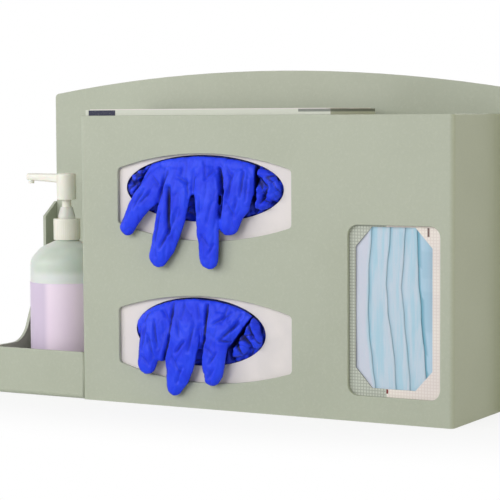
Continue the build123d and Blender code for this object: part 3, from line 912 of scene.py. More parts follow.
def rounded(
    made: bmesh.types.BMesh, edges: list[bmesh.types.BMEdge], radius: float, segments: int
) -> None:
    """Rounds edges.

    Args:
        made: The bmesh that they are in.
        edges: The edges.
        radius: How far the rounding reaches, in millimetres.
        segments: How many steps it has.
    """
    bmesh.ops.bevel(
        made, geom=edges, offset=radius * MM, segments=segments, affect="EDGES", profile=0.5,
        material=-1,
    )


def closed(made: bmesh.types.BMesh) -> None:
    """Fills every open rim.

    Args:
        made: The bmesh.
    """
    rims = [edge for edge in made.edges if edge.is_boundary]
    bmesh.ops.holes_fill(made, edges=rims, sides=0)


# ---------------------------------------------------------------- sheet shell
@dataclass(frozen=True)
class Bead:
    """A bead of cement along an upright joint, in millimetres."""

    name: str
    x: float
    y: float
    foot: float
    top: float
    radius: float


@dataclass
class Shell:
    """The cemented sheets: back panel, front, floor, divider, bottle shelf and its end wing."""

    sheets: tuple[str, ...] = (
        "back_panel", "front_shell", "box_floor", "compartment_divider", "bottle_tray",
        "tray_end_wing",
    )
    beads: tuple[Bead, ...] = (
        Bead("shelf_joint", -132.7, -52.6, 0.6, 41.4, 1.2),
        Bead("left_wall_joint", -133.1, 50.7, 45.6, 251.4, 0.8),
        Bead("right_wall_joint", 224.5, 50.7, 0.6, 251.4, 0.8),
    )
    bead_sides: int = 20
    finish: StonePlastic = StonePlastic()

    def build(self) -> None:
        """Dresses all the sheets in one plastic, and lays the beads of cement."""
        plastic = self.finish.build()
        dress(plastic, *self.sheets)
        for bead in self.beads:
            self.lay(bead, plastic)

    def lay(self, bead: Bead, plastic: bpy.types.Material) -> None:
        """Lays one bead.

        Args:
            bead: The bead.
            plastic: The sheets' material.
        """
        made = bmesh.new()
        middle = Matrix.Translation((bead.x, bead.y, (bead.foot + bead.top) / 2))
        bmesh.ops.create_cone(
            made, cap_ends=True, segments=self.bead_sides, radius1=bead.radius,
            radius2=bead.radius, depth=bead.top - bead.foot, matrix=placed(middle),
        )
        settle(made, bead.name, plastic)


# ---------------------------------------------------------------- cartons
@dataclass
class Carton:
    """Cartons of one kind: their board, and the closing flaps on top of the highest one."""

    nodes: tuple[str, ...]
    board: Board
    flap_thick: float = 0.5
    flap_gap: float = 1.2
    flap_inset: float = 1.5
    flap_corner: float = 5.0

    def build(self) -> None:
        """Dresses the cartons and lays the flaps on."""
        material = self.board.build()
        dress(material, *self.nodes)
        low, high = (Vector(corner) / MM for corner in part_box(self.nodes[-1]))
        centre = (low.y + high.y) / 2
        sides = (
            (low.y + self.flap_inset, centre - self.flap_gap / 2),
            (centre + self.flap_gap / 2, high.y - self.flap_inset),
        )
        for number, (near, far) in enumerate(sides, 1):
            size = (high.x - low.x - 2 * self.flap_inset, far - near, self.flap_thick)
            middle = ((low.x + high.x) / 2, (near + far) / 2, high.z + self.flap_thick / 2)
            name = f"{self.nodes[-1]}_flap_{number}"
            self.flap(material, name, Vector(middle), Vector(size))

    def flap(
        self, material: bpy.types.Material, name: str, middle: Vector, size: Vector
    ) -> None:
        """Lays one flap on a carton.

        Args:
            material: The board.
            name: The piece's name.
            middle: The flap's middle, in millimetres.
            size: Its three sizes, in millimetres.
        """
        made = bmesh.new()
        posts = {
            edge for vert in block(made, middle, size) for edge in vert.link_edges
            if abs(edge.verts[0].co.z - edge.verts[1].co.z) > self.flap_thick * MM / 2
        }
        rounded(made, list(posts), self.flap_corner, 5)
        piece = settle(made, name, material)
        for polygon in piece.data.polygons:
            polygon.use_smooth = False


# ---------------------------------------------------------------- gloves
@dataclass(frozen=True)
class Ring:
    """One cross section of a finger, in millimetres: its centre, half width and half depth."""

    x: float
    z: float
    half: float
    y: float = -59.5
    deep: float = 3.7


@dataclass(frozen=True)
class Crease:
    """A fold line on a glove, in millimetres: its ends, how wide and how deep it is.

    A depth below nothing raises a ridge.
    """

    x0: float
    z0: float
    x1: float
    z1: float
    wide: float
    deep: float


@dataclass(frozen=True)
class Cut:
    """An edge of the palm: a point on it, in millimetres, and which way lies outside."""

    x: float
    z: float
    out_x: float
    out_z: float


@dataclass(frozen=True)
class Lump:
    """A bunched fold of a waiting glove, in millimetres and degrees."""

    x: float
    z: float
    half_x: float
    half_z: float
    turn: float
    front: float = -55.5


@dataclass(frozen=True)
class Ripple:
    """One layer of crumpling: how far it moves the skin, in millimetres, and how fine it is.

    The fineness is how many folds there are to a millimetre in each direction. Above
    nothing, dark makes broad planes with sharp valleys between them, and paints shade
    into those valleys as strongly as it says.
    """

    rise: float
    fine: tuple[float, float, float]
    seed: float
    dark: float = 0.0


@dataclass(frozen=True)
class Oval:
    """The opening of a carton, in millimetres."""

    x: float
    z: float
    half_x: float
    half_z: float

    def reach(self, points: np.ndarray) -> np.ndarray:
        """How far out points lie: 0 in the middle and 1 on the rim.

        Args:
            points: The points, in millimetres.

        Returns:
            A number for each point.
        """
        across = (points[:, 0] - self.x) / self.half_x
        upward = (points[:, 2] - self.z) / self.half_z
        return np.sqrt(across**2 + upward**2)


class Skin:
    """The points of one soft piece, which are moved as a sculptor would.

    A crease has a bank on each side: how far off and how wide it is, in widths of the
    crease, and how high, as a share of the crease's depth.
    """

    bank_away: float = 2.1
    bank_wide: float = 0.9
    bank_high: float = 0.22
    end_fade: float = 1.3
    full_dark: float = 3.0

    def __init__(self, piece: bpy.types.Object) -> None:
        """Reads the points and normals of a piece, in millimetres.

        Args:
            piece: The piece.
        """
        self.piece = piece
        mesh = piece.data
        count = len(mesh.vertices)
        flat, face = np.zeros(count * 3), np.zeros(count * 3)
        mesh.vertices.foreach_get("co", flat)
        mesh.vertices.foreach_get("normal", face)
        self.points = flat.reshape(-1, 3) / MM
        self.facing = face.reshape(-1, 3)
        # fold: painted shade for each point, from 0 to 1, which the rubber's colour reads
        self.fold = np.zeros(count)
        self.front = np.clip(-self.facing[:, 1] * 1.6 + 0.25, 0.0, 1.0)

    def away(self, crease: Crease) -> tuple[np.ndarray, np.ndarray]:
        """How far each point is from a crease, and how much of the crease it takes.

        Args:
            crease: The crease.

        Returns:
            The distances in widths of the crease, and a share that fades at its ends.
        """
        start = np.array([crease.x0, crease.z0])
        run = np.array([crease.x1, crease.z1]) - start
        flat = self.points[:, [0, 2]] - start
        along = np.clip(flat @ run / (run @ run), 0.0, 1.0)
        away = np.linalg.norm(flat - along[:, None] * run, axis=1) / crease.wide
        return away, np.clip(self.end_fade - np.abs(along - 0.5) * self.end_fade, 0.0, 1.0)

    def press(self, crease: Crease) -> None:
        """Presses a crease into the front of the piece, lifts what lies along it, and marks
        painted shade down in the crease.

        Args:
            crease: The crease.
        """
        away, share = self.away(crease)
        share = share * self.front
        valley = np.exp(-(away**1.4)) * share
        banks = np.exp(-(((away - self.bank_away) / self.bank_wide) ** 2)) * share
        self.points[:, 1] += (valley - self.bank_high * banks) * crease.deep
        # painted shade along the crease's valley
        dark = np.exp(-(away**2)) * share * min(1.0, max(0.0, crease.deep) / self.full_dark)
        self.fold = np.maximum(self.fold, dark)

    def crumple(self, ripple: Ripple, seed: float) -> None:
        """Moves the points in and out by noise, and marks painted shade in the valleys of a dark
        layer.

        Args:
            ripple: The layer of crumpling.
            seed: Where in the noise the piece lies.
        """
        start = seed + ripple.seed
        places = self.points * np.array(ripple.fine) + np.array([start, start * 0.7, -start])
        octaves = 1.4 if ripple.dark > 0.0 else 3.0
        values = np.array([noise.fractal(Vector(place), 0.7, 2.1, octaves) for place in places])
        if ripple.dark > 0.0:
            values = np.minimum(np.abs(values) * 3.2, 1.0) - 0.6
            # painted shade in the crumple's valleys
            valley = np.clip(-values * 3.0 - 0.6, 0.0, 1.0) * self.front * ripple.dark
            self.fold = np.maximum(self.fold, valley)
        self.points += self.facing * (values * ripple.rise * self.front)[:, None]

    def keep_out(self, oval: Oval, back: float, front: float) -> None:
        """Holds the piece in front of a plane wherever it lies outside an oval.

        Args:
            oval: The opening.
            back: How far back a point inside the oval may lie.
            front: The plane, which points outside the oval stay in front of.
        """
        near_rim = np.clip((oval.reach(self.points) - 0.92) / 0.08, 0.0, 1.0)
        limit = back + (front - back) * near_rim
        self.points[:, 1] = np.minimum(self.points[:, 1], limit)

    def write(self) -> None:
        """Writes the points and the fold mask of painted shade back to the mesh."""
        mesh = self.piece.data
        mesh.vertices.foreach_set("co", (self.points * MM).ravel())
        mask = mesh.attributes.new("fold", "FLOAT", "POINT")
        mask.data.foreach_set("value", self.fold.astype(np.float32))
        mesh.update()


@dataclass
class GloveStack:
    """A glove pulled part way out of its carton, and the crumpled gloves that wait behind it.

    The palm fills the top of the oval up to a fold, and the fingers hang in front of the
    panel. Places are in millimetres.
    """

    name: str
    oval: Oval
    cuts: tuple[Cut, ...]
    fingers: tuple[tuple[Ring, ...], ...]
    creases: tuple[Crease, ...]
    lumps: tuple[Lump, ...]
    pits: tuple[Crease, ...]
    sill: float
    seed: float
    voxel: float = 0.9
    palm_y: float = -51.5
    palm_deep: float = 6.2
    pile_y: float = -47.6
    pile_deep: float = 3.2
    carton_front: float = -51.0
    panel_front: float = -54.5
    inside: float = -45.0
    tip_angles: tuple[int, ...] = (24, 44, 62, 76, 85)
    hanging_ripples: tuple[Ripple, ...] = (
        Ripple(0.8, (0.05, 0.05, 0.018), 0.0),
        Ripple(0.6, (0.1, 0.07, 0.04), 9.0, 0.3),
        Ripple(0.4, (0.2, 0.12, 0.09), 4.0, 0.15),
    )
    waiting_ripples: tuple[Ripple, ...] = (
        Ripple(2.0, (0.06, 0.05, 0.07), 3.0, 0.75),
        Ripple(1.3, (0.13, 0.1, 0.14), 5.0, 0.4),
    )

    def limb(self, made: bmesh.types.BMesh, rings: tuple[Ring, ...]) -> None:
        """Adds one finger: rings that are bridged, with a dome at its tip.

        Args:
            made: The bmesh that it goes into.
            rings: The finger's rings, root first.
        """
        sections = []
        for k, ring in enumerate(rings):
            before, after = rings[max(k - 1, 0)], rings[min(k + 1, len(rings) - 1)]
            way = Vector((after.x - before.x, 0.0, after.z - before.z)).normalized()
            sections.append((Vector((ring.x, ring.y, ring.z)), way, ring.half, ring.deep))
        centre, way, half, deep = sections[-1]
        for angle in map(math.radians, self.tip_angles):
            sine, cosine = math.sin(angle), math.cos(angle)
            sections.append((centre + way * half * sine, way, half * cosine, deep * cosine**0.7))
        loops = []
        for middle, way, half, deep in sections:
            side = way.cross(Vector((0.0, 1.0, 0.0)))
            turn = Matrix((side * half, Vector((0.0, deep, 0.0)), way)).transposed().to_4x4()
            turn.translation = middle
            circle = bmesh.ops.create_circle(made, segments=28, radius=1.0, matrix=placed(turn))
            loops.append({edge for vert in circle["verts"] for edge in vert.link_edges})
        for first, second in zip(loops, loops[1:]):
            bmesh.ops.bridge_loops(made, edges=[*first, *second])

    def swelling(self, made: bmesh.types.BMesh, middle_y: float, deep: float) -> None:
        """Adds a flat swelling that fills the oval.

        Args:
            made: The bmesh that it goes into.
            middle_y: The depth of its middle.
            deep: How far it stands out.
        """
        oval = self.oval
        size = Matrix.Diagonal((oval.half_x - 1.0, 1.0, oval.half_z - 1.0, 1.0))
        where = placed(Matrix.Translation((oval.x, middle_y, oval.z)), size)
        ball = bmesh.ops.create_uvsphere(
            made, u_segments=56, v_segments=28, radius=1.0, matrix=where
        )
        for vert in ball["verts"]:
            point = np.array([[vert.co.x, 0.0, vert.co.z]]) / MM
            out = min(1.0, float(oval.reach(point)[0]))
            side = 1.0 if vert.co.y / MM > middle_y else -1.0
            vert.co.y = (middle_y + side * deep * math.sqrt(1.0 - out**4)) * MM

    def palm(self, made: bmesh.types.BMesh) -> None:
        """Adds the palm, cut off along its folds and above the gaps between the fingers.

        Args:
            made: The bmesh that it goes into.
        """
        self.swelling(made, self.palm_y, self.palm_deep)
        for cut in self.cuts:
            bmesh.ops.bisect_plane(
                made, geom=[*made.verts, *made.edges, *made.faces], clear_outer=True,
                plane_co=Vector((cut.x, 0.0, cut.z)) * MM,
                plane_no=Vector((cut.out_x, 0.0, cut.out_z)),
            )
            closed(made)

    def hang(self, material: bpy.types.Material) -> None:
        """Models the glove that hangs out.

        Args:
            material: The glove rubber.
        """
        made = bmesh.new()
        self.palm(made)
        for rings in self.fingers:
            self.limb(made, rings)
        closed(made)
        piece = settle(made, f"glove_{self.name}", material)
        joined(piece, self.voxel * MM, 6)
        skin = Skin(piece)
        for ripple in self.hanging_ripples:
            skin.crumple(ripple, self.seed)
        for crease in self.creases:
            skin.press(crease)
        skin.keep_out(self.oval, self.inside, self.carton_front)
        below = skin.points[:, 2] < self.sill
        skin.points[below, 1] = np.minimum(skin.points[below, 1], self.panel_front)
        skin.write()
        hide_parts(f"hanging_glove_{self.name}")

    def wait(self, material: bpy.types.Material) -> None:
        """Models the pack of gloves in the carton and the crumpled front that shows.

        Args:
            material: The glove rubber.
        """
        oval, made = self.oval, bmesh.new()
        low, high = (Vector(corner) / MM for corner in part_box(f"glove_pack_{self.name}"))
        low.y = self.pile_y - 1.0
        block(made, (low + high) / 2, high - low - Vector((2.0, 2.0, 2.0)))
        rounded(made, made.edges[:], 4.0, 3)
        self.swelling(made, self.pile_y, self.pile_deep)
        for lump in self.lumps:
            half_y = (self.pile_y - lump.front) / 2 + 1.0
            where = placed(
                Matrix.Translation((lump.x, (lump.front + self.pile_y) / 2, lump.z)),
                Matrix.Rotation(math.radians(-lump.turn), 4, "Y"),
                Matrix.Diagonal((lump.half_x, half_y, lump.half_z, 1.0)),
            )
            bmesh.ops.create_uvsphere(made, u_segments=28, v_segments=16, radius=1.0, matrix=where)
        piece = settle(made, f"waiting_gloves_{self.name}", material)
        joined(piece, self.voxel * 1.4 * MM, 3)
        skin = Skin(piece)
        skin.front *= (oval.reach(skin.points) < 1.02) * (skin.points[:, 1] < self.pile_y + 1.0)
        for ripple in self.waiting_ripples:
            skin.crumple(ripple, self.seed)
        # the pits are deep presses, so they carry painted shade as well
        for pit in self.pits:
            skin.press(pit)
        outside = oval.reach(skin.points) > 0.985
        skin.points[outside, 1] = np.maximum(skin.points[outside, 1], self.carton_front + 1.6)
        skin.write()
        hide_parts(f"glove_pack_{self.name}")

    def build(self, material: bpy.types.Material) -> None:
        """Models the hanging glove and the waiting ones.

        Args:
            material: The glove rubber.
        """
        self.hang(material)
        self.wait(material)


UPPER_GLOVES = GloveStack(
    name="upper",
    oval=Oval(-8.4, 189.4, 77.9, 28.7),
    cuts=(Cut(44.0, 190.0, 1.0, 0.0), Cut(0.0, 184.0, 0.0, -1.0), Cut(-69.0, 193.0, -0.874, 0.486)),
    fingers=(
        (
            Ring(-40, 203, 10, -54.5), Ring(-49, 194, 13, -56.5), Ring(-57.5, 185.5, 12.4, -58),
            Ring(-65, 178, 10.8), Ring(-71.8, 168.8, 9.3), Ring(-77.9, 159.3, 8.0),
            Ring(-80.2, 155.2, 7.6),
        ),
        (
            Ring(-29, 206, 10, -54.5), Ring(-31.5, 196, 14.4, -57), Ring(-32.2, 186, 16.2, -58.4),
            Ring(-33.6, 176, 15.2, -59), Ring(-35.5, 165, 14.6), Ring(-39.5, 152, 13.4),
            Ring(-44.2, 139, 12.2), Ring(-48.0, 131, 9.6),
        ),
        (
            Ring(0.5, 208, 9, -54.5), Ring(-0.8, 197, 12.4, -57.5), Ring(-0.9, 187, 12.8, -59),
            Ring(0.5, 178, 11.4, -59.8), Ring(1.2, 165, 10.7, -60), Ring(1.6, 150, 10.4, -60),
            Ring(2.0, 138, 9.8, -60), Ring(2.4, 130, 8.9, -60),
        ),
        (
            Ring(29, 206, 11.5, -54), Ring(28.6, 197, 15, -56.5), Ring(28.4, 184, 15.2, -57.6),
            Ring(26.6, 175, 14.2, -58), Ring(23.2, 168, 11.4, -58.2), Ring(21.5, 160.2, 9.9, -58.2),
        ),
    ),
    creases=(
        Crease(-40, 204, -49, 176, 1.2, 2.0), Crease(-43, 206, -45, 186, 1.2, 1.2),
        Crease(-37.5, 190, -37, 152, 1.8, 3.6), Crease(-34, 158, -45, 138, 1.3, 1.8),
        Crease(-46, 168, -52, 140, 1.2, 1.4), Crease(-28, 172, -33, 156, 1.2, 1.1),
        Crease(-62, 188, -72, 172, 1.3, 1.4), Crease(-56, 186, -66, 176, 1.2, 1.4),
        Crease(-70, 184, -80, 162, 1.1, 1.0), Crease(-14, 204, -15, 188, 1.4, 1.2),
        Crease(-21, 197, -18, 184, 1.3, 1.5), Crease(10.8, 206, 15, 186.6, 1.5, 4.6),
        Crease(15, 188, 12.5, 166, 1.5, 4.0), Crease(-5.5, 182, -6.5, 166, 1.2, 1.2),
        Crease(6, 176, 2, 160, 1.2, 1.1), Crease(-4, 150, 3, 141, 1.2, 1.2),
        Crease(8, 142, 3, 134, 1.1, 1.0), Crease(35, 204, 33, 184, 1.3, 1.8),
        Crease(24, 202, 21, 182, 1.3, 1.6), Crease(39, 200, 38, 180, 1.2, 1.3),
        Crease(20, 178, 28, 166, 1.2, 1.3), Crease(30, 182, 27, 170, 1.2, 1.2),
        Crease(-26, 210, -24, 194, 1.3, 1.0), Crease(-4, 212, -1, 198, 1.3, 1.2),
        Crease(-30, 200, -18, 193, 1.3, 1.3), Crease(-1, 198, 7, 205, 1.3, 1.2),
        Crease(18, 208, 25, 197, 1.3, 1.2), Crease(-54, 200, -46, 190, 1.3, 1.3),
    ),
    lumps=(
        Lump(55, 199, 11, 6.5, -32), Lump(59, 188, 9, 8, 10), Lump(51, 178, 8.5, 5.5, 25),
        Lump(48, 188, 5, 9, 5, -54.5), Lump(-73, 199, 9, 4.5, 35, -55.5),
        Lump(-79, 188, 5, 5.5, -20, -55), Lump(-72, 190, 4, 7, 25, -55.2),
    ),
    pits=(
        Crease(-15, 183, -14.5, 162, 7.0, 9.0), Crease(44.5, 208, 42, 172, 1.6, 7.0),
        Crease(-63, 206, -73, 183, 1.8, 4.0), Crease(-50, 178, -54, 170, 5.0, 6.0),
        Crease(-82, 190, -68, 196, 1.3, 2.4), Crease(-76, 202, -66, 199, 1.3, 2.4),
        Crease(48, 200, 56, 192, 1.4, 3.0), Crease(57, 191, 50, 178, 1.4, 3.4),
    ),
    sill=160.0,
    seed=3.1,
)
LOWER_GLOVES = GloveStack(
    name="lower",
    oval=Oval(-12.9, 66.1, 64.5, 29.5),
    cuts=(
        Cut(22.7, 59.5, 0.794, -0.608), Cut(0.0, 52.0, 0.0, -1.0), Cut(-70.5, 58.0, -0.9, -0.436),
    ),
    fingers=(
        (
            Ring(-44, 80, 9, -54.5), Ring(-51, 72, 13.0, -56.5), Ring(-55.8, 62, 13.4, -58),
            Ring(-58.3, 50, 12.0), Ring(-60.2, 42, 10.4), Ring(-61.2, 37, 9.6),
        ),
        (
            Ring(-44, 72, 7, -55, 3.0), Ring(-45, 56, 7.5, -57.5, 3.2),
            Ring(-46.5, 45, 5.5, -58, 3.2),
        ),
        (
            Ring(-20, 84, 11, -54.5), Ring(-23.5, 73, 15.4, -57.5), Ring(-25.2, 58, 16.8, -59.4),
            Ring(-26.6, 46, 15.6, -59.8), Ring(-28.0, 36, 13.9, -59.8), Ring(-30.8, 25, 11.3),
            Ring(-33.4, 18.6, 8.2),
        ),
        (
            Ring(10, 84, 12, -54.5), Ring(8.5, 74, 14, -57.5), Ring(7.4, 60, 13.6, -59.4),
            Ring(6.4, 48, 11.8, -59.8), Ring(5.6, 38, 10.9, -59.8), Ring(4.9, 31, 9.9),
            Ring(4.5, 29.8, 8.6),
        ),
    ),
    creases=(
        Crease(-36, 90, -38.5, 58, 1.3, 2.4), Crease(-37, 62, -45, 38, 1.4, 2.8),
        Crease(-2.2, 90, -3, 60, 1.4, 3.2), Crease(-3, 62, -8, 44, 1.5, 3.6),
        Crease(-54, 74, -50, 52, 1.4, 1.8), Crease(-60, 62, -53, 44, 1.3, 1.5),
        Crease(-63, 70, -65, 48, 1.2, 1.3), Crease(-66, 44, -58, 36, 1.2, 1.2),
        Crease(-14, 70, -18, 50, 1.3, 1.6), Crease(-22, 58, -30, 48, 1.3, 1.5),
        Crease(-34, 44, -26, 32, 1.2, 1.3), Crease(-24, 36, -30, 22, 1.2, 1.2),
        Crease(-30, 78, -27, 62, 1.3, 1.3), Crease(10, 50, 3, 40, 1.2, 1.4),
        Crease(-1, 54, 7, 48, 1.2, 1.3), Crease(8, 36, 2, 28, 1.2, 1.1),
        Crease(14, 62, 28, 76, 1.4, 2.0), Crease(12, 61, 22, 60, 1.3, 2.0),
        Crease(6, 74, 22, 84, 1.3, 1.4), Crease(18, 90, 14, 76, 1.3, 1.4),
        Crease(32, 84, 22, 70, 1.2, 1.3), Crease(-24, 92, -26, 78, 1.3, 1.2),
        Crease(-46, 84, -38, 74, 1.2, 1.2), Crease(-12, 90, -9, 78, 1.3, 1.2),
    ),
    lumps=(
        Lump(40, 72, 7, 10, 20), Lump(34, 62, 8, 7, -20), Lump(27, 52, 9, 5, 25),
        Lump(44, 62, 5.5, 8, -15), Lump(23, 56, 5, 6, 0, -54.5), Lump(-68, 66, 6, 9, 15, -54),
    ),
    pits=(
        Crease(44, 90, 22, 58, 2.0, 8.0), Crease(22, 58, 18, 44, 1.8, 6.0),
        Crease(-7, 52, -9, 38, 5.0, 9.0), Crease(-71, 62, -70, 48, 2.6, 5.0),
        Crease(31, 67, 39, 57, 1.4, 3.2), Crease(38, 78, 41, 64, 1.3, 3.0),
        Crease(25, 60, 31, 50, 1.3, 3.0),
    ),
    sill=37.0,
    seed=7.7,
)


# ---------------------------------------------------------------- masks
@dataclass
class FoldedMask:
    """The front mask of the stack: one sheet whose pleats lie over each other.

    Sizes are in millimetres. Each fold is given by where its edge lies at each height. Each
    point of a pleat's line is given by how far right of that edge and how far behind the
    front it lies, and by how much of the pleat's slow lift it takes.
    """

    left: float = 122.7
    right: float = 217.7
    foot: float = 3.8
    top: float = 178.8
    front: float = -49.3
    step: float = 0.5
    thick: float = 0.25
    rows: int = 64
    # how strong the painted shade beside each fold is
    shades: tuple[float, ...] = (0.6, 0.5, 0.45, 1.2)
    heights: tuple[float, ...] = (3.8, 34.8, 59.0, 73.5, 112.0, 150.9, 178.8)
    folds: tuple[tuple[float, ...], ...] = (
        (154.6, 152.1, 149.4, 147.4, 146.7, 149.4, 151.0),
        (174.0, 171.4, 169.4, 167.1, 162.8, 166.1, 168.5),
        (186.0, 184.2, 181.9, 180.2, 176.8, 179.3, 182.0),
        (200.6, 198.6, 197.0, 195.4, 192.2, 190.9, 190.4),
    )
    pleat: tuple[tuple[float, float, float], ...] = (
        (-6.4, 0.15, 1.0), (-4.0, -0.1, 1.0), (-1.4, -0.15, 0.0), (-0.3, -0.05, 0.0),
        (0.0, 0.1, 0.0), (-0.5, 0.25, 0.0), (-5.6, 0.65, 0.0), (-5.2, 1.0, 0.0),
        (0.8, 0.55, 0.0), (2.2, 0.4, 0.0), (3.6, 0.25, -1.0),
    )

    def edges(self, height: float) -> list[float]:
        """Where the fold edges lie at one height.

        Args:
            height: The height.

        Returns:
            Their places across, from left to right.
        """
        places = []
        for k, fold in enumerate(self.folds):
            waver = noise.noise(Vector((k * 3.1, height * 0.05, 0.0)))
            places.append(float(np.interp(height, self.heights, fold)) + waver)
        return places

    def section(self, height: float) -> list[tuple[float, float]]:
        """The line of the folded sheet at one height, as points across and deep.

        Args:
            height: The height.

        Returns:
            Its points, from left to right.
        """
        line = [(self.left, self.front + self.step)]
        for k, edge in enumerate(self.edges(height)):
            lift = 0.2 * math.sin(height * 0.05 + k * 1.7)
            line += [(edge + x, self.front + y + share * lift) for x, y, share in self.pleat]
        line.append((self.right, self.front + self.step * 0.6))
        return line

    def unfolded(self) -> float:
        """How wide the sheet is once it is pulled flat.

        Returns:
            The width.
        """
        line = self.section(self.heights[4])
        return sum(math.dist(first, second) for first, second in zip(line, line[1:]))

    def in_order(self, edges: list[bmesh.types.BMEdge]) -> list[bmesh.types.BMVert]:
        """The points of an open line of edges, from its left end to its right one.

        Args:
            edges: The edges.

        Returns:
            The points.
        """
        links: dict = {}
        for edge in edges:
            for vert in edge.verts:
                links.setdefault(vert, []).append(edge)
        ends = [vert for vert, found in links.items() if len(found) == 1]
        vert = min(ends, key=lambda end: end.co.x)
        order, last = [vert], None
        while len(order) < len(links):
            last = next(edge for edge in links[vert] if edge is not last)
            vert = last.other_vert(vert)
            order.append(vert)
        return order

    def build(self, material: bpy.types.Material) -> None:
        """Draws the sheet up from its lower edge, row by row.

        Args:
            material: The mask fabric.
        """
        made = bmesh.new()
        rise = (self.top - self.foot) / self.rows
        line = [Vector((x, y, self.foot)) * MM for x, y in self.section(self.foot)]
        verts = [made.verts.new(point) for point in line]
        edges = [made.edges.new(pair) for pair in zip(verts, verts[1:])]
        for height in (self.foot + rise * k for k in range(1, self.rows + 1)):
            grown = bmesh.ops.extrude_edge_only(made, edges=edges)["geom"]
            new = {item for item in grown if isinstance(item, bmesh.types.BMVert)}
            lines = (item for item in grown if isinstance(item, bmesh.types.BMEdge))
            edges = [edge for edge in lines if new.issuperset(edge.verts)]
            for vert, (x, y) in zip(self.in_order(edges), self.section(height)):
                wave = noise.noise(Vector((x * 0.05, height * 0.03, 4.0))) * 0.3
                vert.co = Vector((x, y + wave, height)) * MM
        piece = settle(made, "folded_mask", material)
        thick = piece.modifiers.new("thick", "SOLIDIFY")
        thick.thickness, thick.offset = self.thick * MM, 0.0
        baked(piece)
        self.mark(piece.data)
        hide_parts("front_mask")
        self.unfolded() * MM

    def mark(self, mesh: bpy.types.Mesh) -> None:
        """Marks the painted shade beside each fold, the inner layer on the left, a painted
        highlight just left of each fold edge, and the last strip.

        Args:
            mesh: The sheet's mesh.
        """
        fold, layer = (mesh.attributes.new(name, "FLOAT", "POINT") for name in ("fold", "layer"))
        for k, vert in enumerate(mesh.vertices):
            x, y, height = vert.co / MM
            edges = self.edges(height)
            past, shade = min(
                ((x - edge, share) for edge, share in zip(edges, self.shades) if x > edge - 0.6),
                default=(9.0, 0.0),
            )
            under = y > self.front + self.step - 0.35
            # painted shade on the sheet just right of each fold edge
            fold.data[k].value = shade * math.exp(-((past / (1.4 + shade)) ** 2)) if under else 0.0
            white = min(1.0, max(0.0, (edges[0] - 1.5 - x) / 1.5))
            blue = min(1.0, max(0.0, (x - edges[-1]) / 1.5))
            # painted highlight just left of each fold edge, carried in the layer mark
            crest_highlight = max(math.exp(-(((x - edge + 1.6) / 1.4) ** 2)) for edge in edges[:-1])
            layer.data[k].value = max(white, 0.45 * crest_highlight * (not under)) - blue


# ---------------------------------------------------------------- bottle
@dataclass
class PumpBottle:
    """The bottle, its label, its contents and its pump.

    The spring's wire is given by its radius in millimetres, and by its steps to a turn.
    """

    wire: float = 0.5
    turns: int = 7
    steps: int = 28
    # At grazing angles the bottle and the gel are painted paler, a painted highlight, and the label
    # and the pump's plastics are painted darker, painted shade.
    body: Moulded = Moulded(
        name="frosted_plastic", base=screen(226, 234, 222), tint=screen(218, 227, 215),
        painted_rim_shading=screen(238, 240, 234), band=(90.0, 113.0), band_colour=screen(248, 249, 244),
        rough=0.42, through=0.1, under=0.25,
    )
    gel: Moulded = Moulded(
        name="clear_gel", base=screen(226, 228, 224), tint=screen(220, 222, 220),
        painted_rim_shading=screen(232, 232, 230), rough=0.12, through=0.4,
    )
    label: Moulded = Moulded(
        name="lilac_label", base=screen(253, 235, 253), tint=screen(250, 231, 251),
        painted_rim_shading=screen(222, 206, 230), edge=(0.12, 0.26), rough=0.5, tooth_size=2000.0,
    )
    ivory: Moulded = Moulded(
        name="ivory_plastic", base=screen(252, 249, 238), tint=screen(248, 244, 230),
        painted_rim_shading=screen(236, 233, 217), under=0.1,
    )
    natural: Moulded = Moulded(
        name="natural_plastic", base=screen(232, 232, 226), tint=screen(222, 222, 214),
        painted_rim_shading=screen(206, 206, 196), under=0.2,
    )
    gasket: Moulded = Moulded(
        name="soft_gasket", base=screen(200, 200, 196), tint=screen(186, 186, 182),
        painted_rim_shading=screen(180, 180, 176), rough=0.7,
    )

    def build(self) -> None:
        """Dresses every piece of the bottle and the pump."""
        dress(self.body.build(), "bottle")
        dress(self.gel.build(), "sanitizer")
        dress(self.label.build(), "bottle_label")
        dress(self.ivory.build(), "closure_cap", "pump_stem", "pump_head")
        dress(self.natural.build(), "pump_housing", "dip_tube", "stem_collar")
        dress(self.gasket.build(), "neck_gasket", "pump_piston")
        dress(Metal(name="steel_ball").build(), "inlet_ball")
        self.wind(Metal(name="spring_steel", rough=0.35).build())

    def wind(self, steel: bpy.types.Material) -> None:
        """Winds the spring, a fixed coil here, though the real one shortens as the head is pressed.

        Args:
            steel: The wire's material.
        """
        low, high = (Vector(corner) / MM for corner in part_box("pump_spring"))
        middle = (low + high) / 2
        reach, rise = (high.x - low.x) / 2 - self.wire, high.z - low.z - 2 * self.wire
        end = Matrix.Translation((middle.x + reach, middle.y, low.z + self.wire))
        made = bmesh.new()
        upright = placed(end, Matrix.Rotation(math.pi / 2, 4, "X"))
        bmesh.ops.create_circle(made, segments=10, radius=self.wire, matrix=upright)
        steps = self.turns * self.steps
        bmesh.ops.spin(
            made, geom=[*made.verts, *made.edges], cent=Vector((middle.x, middle.y, 0.0)) * MM,
            axis=(0.0, 0.0, 1.0), dvec=(0.0, 0.0, rise * MM / steps), angle=math.tau * self.turns,
            steps=steps, use_duplicate=False, use_merge=False,
        )
        closed(made)
        piece = settle(made, "return_spring", steel, "")
        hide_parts("pump_spring")
        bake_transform(piece)


# ---------------------------------------------------------------- studio
@dataclass(frozen=True)
class Softbox:
    """One soft lamp: where it stands, how large and how strong it is."""

    name: str
    x: float
    y: float
    z: float
    size: float
    watts: float
    tone: tuple[float, float, float] = (1.0, 1.0, 1.0)


